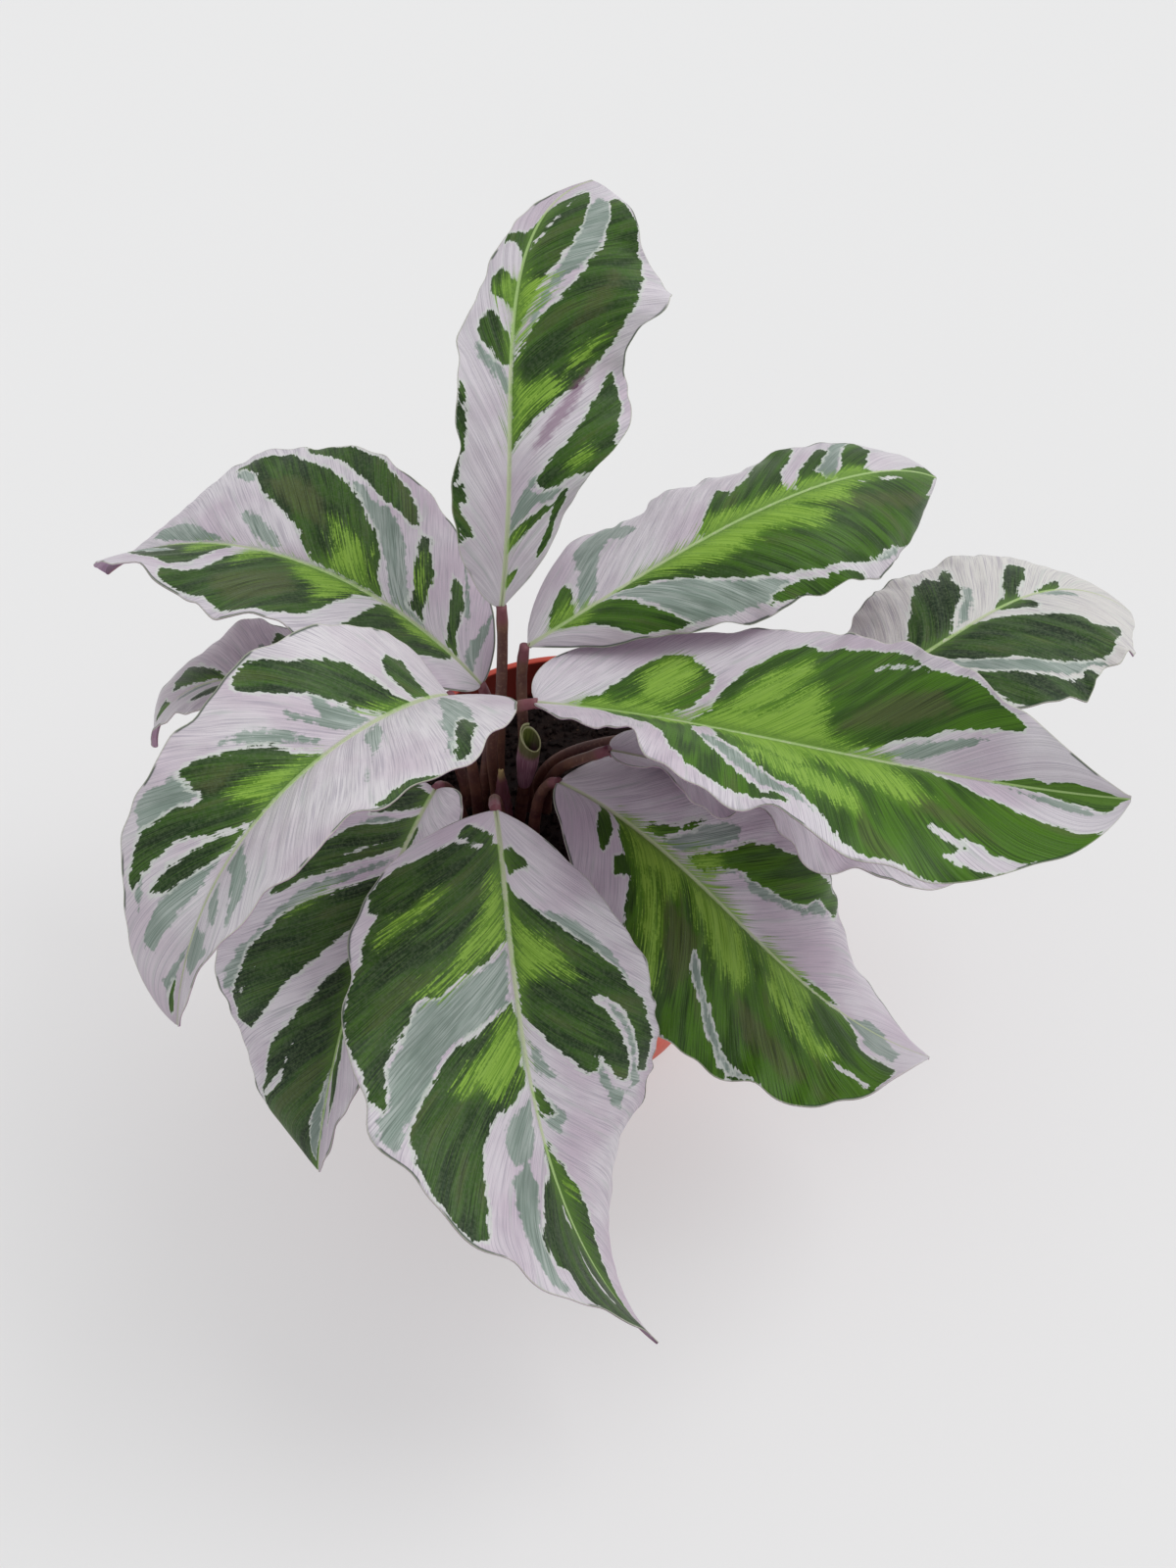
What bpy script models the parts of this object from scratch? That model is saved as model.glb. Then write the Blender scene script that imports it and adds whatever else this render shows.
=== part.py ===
"""White-variegated prayer plant in its plastic pot. Metres, Z up, base centre of the pot at the origin.

The camera side is -Y. Every blade is one grid that a formula bends along its rib and
across its two halves. Every stalk is one tapered curve from its hole in the soil to its blade.
"""

import math

import bmesh
import bpy
import numpy as np
from mathutils import Vector

MM = 0.001
GAP = 0.3 * MM

# Pot
POT_HEIGHT = 118 * MM
RIM_RADIUS = 60 * MM
RIM_BAND = 15 * MM
RIM_BEAD = 1.2 * MM
POT_SHOULDER_RADIUS = 57.6 * MM
POT_FOOT_RADIUS = 46.5 * MM
POT_WALL = 1.4 * MM
POT_FLOOR = 1.8 * MM
POT_STEPS = 48
DRAIN_COUNT = 6
DRAIN_RADIUS = 3.5 * MM
DRAIN_CIRCLE = 31 * MM

# Soil and the crown that the stalks rise from
SOIL_TOP = 104 * MM
CROWN = Vector((-23 * MM, -9 * MM, 0))
ROOT_DEPTH = 9 * MM
HOLE_PLAY = 0.5 * MM

# Stalks
STALK_FOOT_RADIUS = 2.1 * MM
STALK_NECK = 0.8
STALK_RISE = 0.40
STALK_REACH = 0.30

# Blades
BLADE_THICKNESS = 0.8 * MM
BLADE_CUTS_ALONG = 22
BLADE_CUTS_ACROSS = 8
RIB_STEPS = 96
END_HALF_WIDTH = 0.9 * MM
RIPPLE_COUNT = 3

# Rolled new leaf and the dry sheath beside it
ROLL_FOOT = Vector((-19.0 * MM, -7.5 * MM, SOIL_TOP - ROOT_DEPTH))
ROLL_MOUTH = Vector((-12.8 * MM, -6.0 * MM, 147 * MM))
ROLL_RADIUS = 4.0 * MM
ROLL_WALL = 0.9 * MM
ROLL_DEPTH = 24 * MM
ROLL_STEM_RADIUS = 2.2 * MM
ROLL_STEPS = 20

# Lengths in millimetres and angles in degrees. Pitch and roll are given at the base, the
# middle and the tip of the rib, turn is the change of heading at the middle and the tip,
# and each pair is for the left and the right half, seen from the base towards the tip.
# foot is the angle and the distance of the stalk's hole from the crown, and arrive is how far
# the stalk's last stretch turns aside from the rib and rises to it.
LEAVES = {
    "back": dict(
        foot=(105, 8.0), arrive=(0, 20),
        base=(-22, 7, 190), length=156, heading=67, turn=(20, -26),
        pitch=(72, 45, -12), roll=(-11, -9, 10), half_width=(18, 44), cup=(20, 11), arch=(28, 36),
        lobe=(0.35, -0.25), belly=(0.65, 0.95), taper=(1.3, 0.5),
        ripple=(0.08, 0.14), ripple_phase=(-122, 44),
    ),
    "back_left": dict(
        foot=(141, 9.6), arrive=(0, 25),
        base=(-30, 11, 151), length=162, heading=150, turn=(9, 7),
        pitch=(42, 2, -50), roll=(-6, 6, -24), half_width=(40, 50), cup=(27, 19), arch=(17, 26),
        lobe=(0.15, 0.45), belly=(0.65, 0.85), taper=(0.8, 0.85),
        ripple=(0.08, 0.03), ripple_phase=(-118, -47),
    ),
    "back_right": dict(
        foot=(43, 11.0), arrive=(0, 50),
        base=(-14, 7, 173), length=166, heading=12, turn=(14, 22),
        pitch=(32, 11, -40), roll=(-9, 8, -29), half_width=(44, 37), cup=(9, -1), arch=(43, 57),
        lobe=(-0.35, -0.1), belly=(0.3, 0.95), taper=(0.85, 0.65),
        ripple=(0.05, 0.05), ripple_phase=(-50, 80),
    ),
    "right": dict(
        foot=(135, 3.0), arrive=(0, 15),
        base=(-11, -20, 174), length=190, heading=-10, turn=(-22, 1),
        pitch=(4, 16, 3), roll=(20, 5, -53), half_width=(47, 50), cup=(26, 27), arch=(18, 17),
        lobe=(0.6, 0.15), belly=(0.6, 0.7), taper=(1.0, 0.75),
        ripple=(0.01, 0.06), ripple_phase=(6, 14),
    ),
    "far_right": dict(
        foot=(50, 17.0), arrive=(0, 25),
        base=(88, 4, 152), length=132, heading=5, turn=(33, -10),
        pitch=(25, -4, -40), roll=(12, -5, 13), half_width=(38, 45), cup=(8, 18), arch=(46, 28),
        lobe=(0.6, 0.2), belly=(0.55, 0.75), taper=(0.75, 0.7),
        ripple=(0.04, 0.06), ripple_phase=(40, -8),
    ),
    "left": dict(
        foot=(200, 9.0), arrive=(0, 25),
        base=(-37, -31, 188), length=159, heading=252, turn=(-21, 5),
        pitch=(46, -6, -66), roll=(10, 4, -39), half_width=(40, 35), cup=(32, 29), arch=(10, 15),
        lobe=(0.35, 0.85), belly=(0.55, 0.6), taper=(0.8, 0.65),
        ripple=(0.04, 0.04), ripple_phase=(78, 5),
    ),
    "front_left": dict(
        foot=(215, 15.5), arrive=(0, 25),
        base=(-44, -26, 140), length=139, heading=249, turn=(4, -3),
        pitch=(2, -25, -79), roll=(2, -12, -23), half_width=(28, 47), cup=(36, 20), arch=(5, 26),
        lobe=(0.2, 0.4), belly=(0.55, 0.6), taper=(0.8, 0.75),
        ripple=(0.03, 0.07), ripple_phase=(73, 134),
    ),
    "front": dict(
        foot=(270, 12.5), arrive=(0, 25),
        base=(-23, -53, 160), length=179, heading=278, turn=(8, 52),
        pitch=(3, -45, -27), roll=(-17, 10, 58), half_width=(48, 54), cup=(9, 23), arch=(43, 20),
        lobe=(-0.2, 0.1), belly=(0.85, 0.65), taper=(0.85, 0.95),
        ripple=(0.02, 0.02), ripple_phase=(152, -51),
    ),
    "front_right": dict(
        foot=(-50, 16.0), arrive=(0, 25),
        base=(-4, -23, 140), length=157, heading=-37, turn=(10, 17),
        pitch=(10, -39, -3), roll=(11, -16, 36), half_width=(41, 51), cup=(14, 22), arch=(35, 22),
        lobe=(0.3, 0.2), belly=(0.55, 0.8), taper=(0.8, 0.5),
        ripple=(0.07, 0.04), ripple_phase=(103, -61),
    ),
    "low_left": dict(
        foot=(145, 16.0), arrive=(0, 25),
        base=(-50, 14, 130), length=120, heading=177, turn=(-9, 20),
        pitch=(16, -6, -87), roll=(-1, -5, -5), half_width=(25, 31), cup=(23, 18), arch=(22, 30),
        lobe=(0.4, 0.4), belly=(0.55, 0.55), taper=(0.75, 0.75),
        ripple=(0.03, 0.10), ripple_phase=(77, 93),
    ),
    "low_right": dict(
        foot=(25, 15.5), arrive=(-15, 50),
        base=(13, -23, 155), length=120, heading=-5, turn=(-18, -17),
        pitch=(-9, -6, -9), roll=(14, 12, -16), half_width=(32, 37), cup=(15, 29), arch=(35, 15),
        lobe=(0.35, 0.2), belly=(0.6, 0.6), taper=(0.75, 0.75),
        ripple=(0.01, 0.13), ripple_phase=(126, 157),
    ),
}
SHEATH = dict(
    base=(-23, -14.5, 104.5), length=36, heading=270, turn=(0, 0),
    pitch=(84, 86, 80), roll=(0, 0, 0), half_width=(4, 4), cup=(60, 60), arch=(30, 30),
    lobe=(0, 0), belly=(0.2, 0.2), taper=(0.8, 0.8),
    ripple=(0, 0), ripple_phase=(0, 0),
)

# Colours
POT_RED = (0.56, 0.075, 0.035, 1)
SOIL_BROWN = (0.018, 0.013, 0.010, 1)
BLADE_GREEN = (0.10, 0.21, 0.06, 1)
STALK_MAROON = (0.11, 0.032, 0.042, 1)
ROLL_OLIVE = (0.16, 0.20, 0.05, 1)
SHEATH_BROWN = (0.16, 0.07, 0.06, 1)


def clear_scene():
    for obj in list(bpy.data.objects):
        bpy.data.objects.remove(obj, do_unlink=True)


def make_collection(name, shown):
    collection = bpy.data.collections.new(name)
    collection.hide_render = not shown
    bpy.context.scene.collection.children.link(collection)
    return collection


def make_material(name, colour, roughness):
    material = bpy.data.materials.new(name)
    material.use_nodes = True
    shader = material.node_tree.nodes["Principled BSDF"]
    shader.inputs["Base Color"].default_value = colour
    shader.inputs["Roughness"].default_value = roughness
    shader.inputs["Metallic"].default_value = 0
    return material


def add_object(name, data, collection, parent=None, material=None):
    obj = bpy.data.objects.new(name, data)
    collection.objects.link(obj)
    obj.parent = parent
    if material:
        obj.data.materials.append(material)
    return obj


def turned(name, profile, steps, collection, parent, material):
    """Turns a profile of (radius, height) points, which runs down its outside, around Z."""
    mesh = bpy.data.meshes.new(name)
    points = [(radius, 0, height) for radius, height in profile]
    edges = [(i, i + 1) for i in range(len(points) - 1)]
    mesh.from_pydata(points, edges, [])
    obj = add_object(name, mesh, collection, parent, material)
    screw = obj.modifiers.new("Turn", "SCREW")
    screw.axis = "Z"
    screw.steps = steps
    screw.render_steps = steps
    screw.use_merge_vertices = True
    screw.merge_threshold = 0.00005
    return obj


def cylinder(name, radius, bottom, top, sides, collection):
    mesh = bpy.data.meshes.new(name)
    form = bmesh.new()
    bmesh.ops.create_cone(
        form, cap_ends=True, segments=sides, radius1=radius, radius2=radius, depth=top - bottom
    )
    form.to_mesh(mesh)
    form.free()
    obj = add_object(name, mesh, collection)
    obj.location.z = (bottom + top) / 2
    obj.display_type = "WIRE"
    return obj


def cut(obj, cutter):
    boolean = obj.modifiers.new("Cut", "BOOLEAN")
    boolean.operation = "DIFFERENCE"
    boolean.solver = "EXACT"
    boolean.object = cutter


def inner_radius(height):
    """Radius of the pot's inside at a height below the rim band."""
    share = height / (POT_HEIGHT - RIM_BAND)
    outer = POT_FOOT_RADIUS + (POT_SHOULDER_RADIUS - POT_FOOT_RADIUS) * share
    return outer - POT_WALL


def add_pot(collection, cutters, parent):
    shoulder = POT_HEIGHT - RIM_BAND
    rim_inside = RIM_RADIUS - RIM_BEAD - POT_WALL
    profile = [
        (0, POT_FLOOR),
        (inner_radius(POT_FLOOR), POT_FLOOR),
        (inner_radius(shoulder), shoulder),
        (rim_inside - 0.8 * MM, shoulder + POT_WALL),
        (rim_inside, POT_HEIGHT - 0.4 * MM),
        (rim_inside + 0.5 * MM, POT_HEIGHT),
        (RIM_RADIUS - 0.5 * MM, POT_HEIGHT),
        (RIM_RADIUS, POT_HEIGHT - 0.6 * MM),
        (RIM_RADIUS, POT_HEIGHT - 3 * MM),
        (RIM_RADIUS - RIM_BEAD, POT_HEIGHT - 3.6 * MM),
        (RIM_RADIUS - RIM_BEAD - 0.4 * MM, shoulder + 0.8 * MM),
        (RIM_RADIUS - RIM_BEAD - 0.8 * MM, shoulder),
        (POT_SHOULDER_RADIUS, shoulder - 0.6 * MM),
        (POT_FOOT_RADIUS + 0.6 * MM, 4 * MM),
        (POT_FOOT_RADIUS, 0.8 * MM),
        (POT_FOOT_RADIUS - 0.8 * MM, 0),
        (0, 0),
    ]
    pot = turned("pot", profile, POT_STEPS, collection, parent, make_material("pot", POT_RED, 0.42))
    for index in range(DRAIN_COUNT):
        angle = math.tau * index / DRAIN_COUNT
        drain = cylinder(f"drain_{index}", DRAIN_RADIUS, -2 * MM, POT_FLOOR + 2 * MM, 16, cutters)
        drain.location.x = DRAIN_CIRCLE * math.cos(angle)
        drain.location.y = DRAIN_CIRCLE * math.sin(angle)
        cut(pot, drain)
    return pot


def add_soil(collection, parent):
    bottom = POT_FLOOR + GAP
    shoulder = POT_HEIGHT - RIM_BAND
    profile = [
        (0, SOIL_TOP),
        (inner_radius(shoulder) - GAP - 3 * MM, SOIL_TOP),
        (inner_radius(shoulder) - GAP, SOIL_TOP - 1.4 * MM),
        (inner_radius(bottom) - GAP, bottom),
        (0, bottom),
    ]
    return turned("soil", profile, POT_STEPS, collection, parent, make_material("soil", SOIL_BROWN, 0.95))


def along(values, share):
    """The quadratic through values at the base, the middle and the tip."""
    base, middle, tip = values
    return (
        base * (1 - share) * (1 - 2 * share)
        + 4 * middle * share * (1 - share)
        + tip * share * (2 * share - 1)
    )


def rib_frames(leaf):
    """Points along the rib from the base, with its direction, its right side and its normal."""
    share = np.linspace(0, 1, RIB_STEPS + 1)
    pitch = np.radians(along(leaf["pitch"], share))
    heading = np.radians(along((0, *leaf["turn"]), share))
    roll = np.radians(along(leaf["roll"], share))
    flat = np.cos(pitch)
    tangent = np.stack([flat * np.cos(heading), flat * np.sin(heading), np.sin(pitch)], -1)
    steps = (tangent[1:] + tangent[:-1]) / 2 * leaf["length"] * MM / RIB_STEPS
    points = np.vstack([np.zeros(3), np.cumsum(steps, 0)])
    level = np.stack([np.sin(heading), -np.cos(heading), 0 * heading], -1)
    upright = np.cross(level, tangent)
    turn_cos = np.cos(roll)[:, None]
    turn_sin = np.sin(roll)[:, None]
    right = turn_cos * level + turn_sin * upright
    normal = turn_cos * upright - turn_sin * level
    return share, points, tangent, right, normal


def half_width(leaf, side, share):
    """Half-width of one side along the rib: a rounded base that tapers to a drawn-out tip."""
    belly = leaf["belly"][side]
    taper = leaf["taper"][side]
    widest = belly / (belly + taper)
    shape = share**belly * (1 - share) ** taper / (widest**belly * (1 - widest) ** taper)
    return np.hypot(leaf["half_width"][side] * MM * shape, END_HALF_WIDTH)


def blade_points(leaf, share, across):
    """Upper face of a blade at shares along its rib and places across it, -1 left to 1 right."""
    stations, *frames = rib_frames(leaf)
    axes = [np.stack([np.interp(share, stations, f[:, k]) for k in range(3)], -1) for f in frames]
    points, tangent, right, normal = axes
    side = (across > 0).astype(int)
    out = np.abs(across)
    pick = [np.take(np.radians(leaf[key]), side) for key in ("cup", "arch", "ripple_phase")]
    cup, arch, phase = pick
    lobe = np.take(leaf["lobe"], side)
    width = np.where(side == 1, half_width(leaf, 1, share), half_width(leaf, 0, share))
    bend = cup - arch * out
    sideways = width * (np.sin(cup) - np.sin(bend)) / arch
    lift = width * (np.cos(bend) - np.cos(cup)) / arch
    swing = math.tau * RIPPLE_COUNT * share + phase
    reach = np.take(leaf["ripple"], side) * width * out**2 * np.sqrt(np.sin(np.pi * share))
    sideways = sideways + reach * np.sin(swing) * np.cos(bend)
    lift = lift + reach * np.cos(swing)
    back = lobe * width * out**1.3 * (1 - share) ** 4
    sideways = np.where(side == 1, sideways, -sideways)
    return points + right * sideways[:, None] + normal * lift[:, None] - tangent * back[:, None]


def add_blade(name, leaf, collection, parent, material, cuts_along=BLADE_CUTS_ALONG):
    mesh = bpy.data.meshes.new(name)
    form = bmesh.new()
    bmesh.ops.create_grid(form, x_segments=cuts_along, y_segments=BLADE_CUTS_ACROSS, size=0.5)
    flat = np.array([vertex.co[:] for vertex in form.verts])
    even = flat[:, 0] + 0.5
    share = np.clip(0.5 * even + 0.25 * (1 - np.cos(np.pi * even)), 0, 1)
    for vertex, place in zip(form.verts, blade_points(leaf, share, -2 * flat[:, 1])):
        vertex.co = place
    bmesh.ops.triangulate(form, faces=form.faces)
    form.to_mesh(mesh)
    form.free()
    blade = add_object(name, mesh, collection, parent, material)
    blade.location = Vector(leaf["base"]) * MM
    blade.rotation_euler.z = math.radians(leaf["heading"])
    solid = blade.modifiers.new("Thickness", "SOLIDIFY")
    solid.thickness = BLADE_THICKNESS
    solid.offset = -1
    return blade


def direction(heading, pitch):
    level = math.cos(pitch)
    return Vector((level * math.cos(heading), level * math.sin(heading), math.sin(pitch)))


def stalk_path(leaf):
    """Three points with their handles: the foot under the soil, the soil line and the blade."""
    angle, radius = leaf["foot"]
    swing = math.radians(angle)
    soil_line = CROWN + Vector((math.cos(swing), math.sin(swing), 0)) * radius * MM
    soil_line.z = SOIL_TOP
    foot = soil_line - Vector((0, 0, ROOT_DEPTH))
    heading = math.radians(leaf["heading"])
    pitch = math.radians(leaf["pitch"][0])
    rib = direction(heading, pitch)
    upright = direction(heading, pitch + math.pi / 2)
    aside, tilt = (math.radians(value) for value in leaf["arrive"])
    arrival = direction(heading + aside, pitch + tilt)
    seat = GAP + STALK_FOOT_RADIUS * STALK_NECK * math.sin(max(tilt, abs(aside)))
    end = Vector(leaf["base"]) * MM - rib * seat - upright * BLADE_THICKNESS / 2
    distance = (end - soil_line).length
    rise = Vector((0, 0, STALK_RISE * distance))
    return [
        (foot, foot - Vector((0, 0, 1 * MM)), foot + Vector((0, 0, 3 * MM))),
        (soil_line, soil_line - Vector((0, 0, 3 * MM)), soil_line + rise),
        (end, end - arrival * STALK_REACH * distance, end + arrival * 1 * MM),
    ]


def add_stalk(name, leaf, collection, parent, material):
    path = stalk_path(leaf)
    origin = path[0][0]
    curve = bpy.data.curves.new(name, "CURVE")
    curve.dimensions = "3D"
    curve.resolution_u = 7
    curve.bevel_depth = STALK_FOOT_RADIUS
    curve.bevel_resolution = 2
    curve.use_fill_caps = True
    spline = curve.splines.new("BEZIER")
    spline.bezier_points.add(len(path) - 1)
    for point, (place, before, after) in zip(spline.bezier_points, path):
        point.handle_left_type = "FREE"
        point.handle_right_type = "FREE"
        point.co = place - origin
        point.handle_left = before - origin
        point.handle_right = after - origin
        point.radius = 1
    spline.bezier_points[-1].radius = STALK_NECK
    stalk = add_object(name, curve, collection, parent, material)
    stalk.location = origin
    return stalk


def add_new_leaf(collection, parent):
    """The rolled leaf: a stem that widens into a hollow tube, leaning from its foot to its mouth."""
    foot = ROLL_FOOT
    lean = ROLL_MOUTH - foot
    height = lean.length
    inside = ROLL_RADIUS - ROLL_WALL
    profile = [
        (0, height - ROLL_DEPTH),
        (inside * 0.55, height - ROLL_DEPTH + 1 * MM),
        (inside * 0.85, height - ROLL_DEPTH * 0.5),
        (inside, height),
        (ROLL_RADIUS, height - 0.3 * MM),
        (ROLL_RADIUS * 0.93, height - ROLL_DEPTH * 0.5),
        (ROLL_STEM_RADIUS + 0.6 * MM, height - ROLL_DEPTH * 1.1),
        (ROLL_STEM_RADIUS, height * 0.3),
        (ROLL_STEM_RADIUS, 0),
        (0, 0),
    ]
    material = make_material("new_leaf", ROLL_OLIVE, 0.5)
    roll = turned("new_leaf", profile, ROLL_STEPS, collection, parent, material)
    roll.location = foot
    roll.rotation_mode = "QUATERNION"
    roll.rotation_quaternion = lean.to_track_quat("Z", "Y")
    return roll


def cut_root_holes(soil, cutters):
    """Plain round holes that the stalks and the rolled leaf stand in."""
    upright = Vector((0, 0, 1))
    roots = [(name, stalk_path(leaf)[0][0], upright) for name, leaf in LEAVES.items()]
    roots.append(("new_leaf", ROLL_FOOT, (ROLL_MOUTH - ROLL_FOOT).normalized()))
    for name, foot, lean in roots:
        half = (ROOT_DEPTH + 4 * MM) / 2
        hole = cylinder(f"hole_{name}", STALK_FOOT_RADIUS + HOLE_PLAY, -half, half, 16, cutters)
        hole.location = foot + lean * (half - GAP)
        hole.rotation_mode = "QUATERNION"
        hole.rotation_quaternion = lean.to_track_quat("Z", "Y")
        cut(soil, hole)


def build():
    clear_scene()
    collection = make_collection("prayer_plant", True)
    cutters = make_collection("cutters", False)
    plant = bpy.data.objects.new("plant", None)
    collection.objects.link(plant)
    add_pot(collection, cutters, plant)
    soil = add_soil(collection, plant)
    cut_root_holes(soil, cutters)
    for name, leaf in LEAVES.items():
        blade_material = make_material(f"leaf_{name}", BLADE_GREEN, 0.45)
        add_blade(f"leaf_{name}", leaf, collection, plant, blade_material)
        add_stalk(f"stalk_{name}", leaf, collection, plant, make_material(f"stalk_{name}", STALK_MAROON, 0.5))
    add_new_leaf(collection, plant)
    add_blade("sheath", SHEATH, collection, plant, make_material("sheath", SHEATH_BROWN, 0.6), 8)


build()
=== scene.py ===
"""The looks of the variegated prayer plant: blades with their markings, stalks, soil, pot and light.

Blades and stalks repeat the CAD formulas with more points. Metres and degrees unless a name says otherwise.
"""

import math
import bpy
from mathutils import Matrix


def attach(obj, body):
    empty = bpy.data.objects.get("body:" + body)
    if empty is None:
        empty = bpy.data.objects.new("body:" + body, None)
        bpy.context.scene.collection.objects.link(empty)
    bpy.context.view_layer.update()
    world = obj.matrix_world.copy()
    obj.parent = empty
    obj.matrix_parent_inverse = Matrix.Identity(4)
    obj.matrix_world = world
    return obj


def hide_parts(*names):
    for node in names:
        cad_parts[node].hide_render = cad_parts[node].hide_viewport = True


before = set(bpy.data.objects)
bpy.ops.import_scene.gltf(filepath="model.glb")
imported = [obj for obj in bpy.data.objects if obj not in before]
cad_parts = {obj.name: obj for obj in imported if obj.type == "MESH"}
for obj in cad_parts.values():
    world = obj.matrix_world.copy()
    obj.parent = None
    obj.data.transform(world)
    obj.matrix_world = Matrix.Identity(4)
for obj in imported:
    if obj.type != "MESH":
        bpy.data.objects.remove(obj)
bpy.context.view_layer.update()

from types import SimpleNamespace

import bmesh
import bpy
import numpy as np
from mathutils import Euler, Vector

MM = 0.001

# Camera of the photograph, in the row frame
CAMERA_PLACE = (5.7 * MM, -485.3 * MM, 643.7 * MM)
CAMERA_DOWN = 47.5
CAMERA_LENS = 47.9
SENSOR = 36

# Sizes shared with the CAD
POT_HEIGHT = 118 * MM
RIM_RADIUS = 60 * MM
RIM_BAND = 15 * MM
RIM_BEAD = 1.2 * MM
POT_SHOULDER_RADIUS = 57.6 * MM
POT_FOOT_RADIUS = 46.5 * MM
POT_WALL = 1.4 * MM
POT_FLOOR = 1.8 * MM
POT_STEPS = 144
DRAIN_COUNT = 6
DRAIN_RADIUS = 3.5 * MM
DRAIN_CIRCLE = 31 * MM
DRAIN_DEPTH = 12 * MM
DRAIN_SIDES = 32
SOIL_TOP = 104 * MM
GAP = 0.3 * MM
CROWN = Vector((-23 * MM, -9 * MM, 0))
ROOT_DEPTH = 9 * MM
ROOT_HANDLE = 3 * MM
STALK_FOOT_RADIUS = 2.1 * MM
STALK_NECK = 0.8
STALK_RISE = 0.40
STALK_REACH = 0.30
BLADE_THICKNESS = 0.8 * MM
RIB_STEPS = 96
END_HALF_WIDTH = 0.9 * MM
LOBE_CURVE = 1.3
LOBE_FADE = 4
RIPPLE_COUNT = 3
ROLL_FOOT = Vector((-19.0 * MM, -7.5 * MM, SOIL_TOP - ROOT_DEPTH))
ROLL_MOUTH = Vector((-12.8 * MM, -6.0 * MM, 147 * MM))
ROLL_RADIUS = 4.0 * MM
ROLL_STEM_RADIUS = 2.2 * MM

# Fineness of the modelled pieces
BLADE_CUTS = (140, 84)
SHEATH_CUTS = (48, 24)
STALK_SIDES = 20
STALK_RINGS = 48
ROOT_RINGS = 5
ROLL_ROWS = 40
ROLL_COLUMNS = 72
NEW_STEM_RINGS = 16
WELD_DISTANCE = 0.01 * MM
AXIS_RADIUS = 0.01 * MM
CRUMB_COUNT = 1500
CRUMB_SEED = 11

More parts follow.
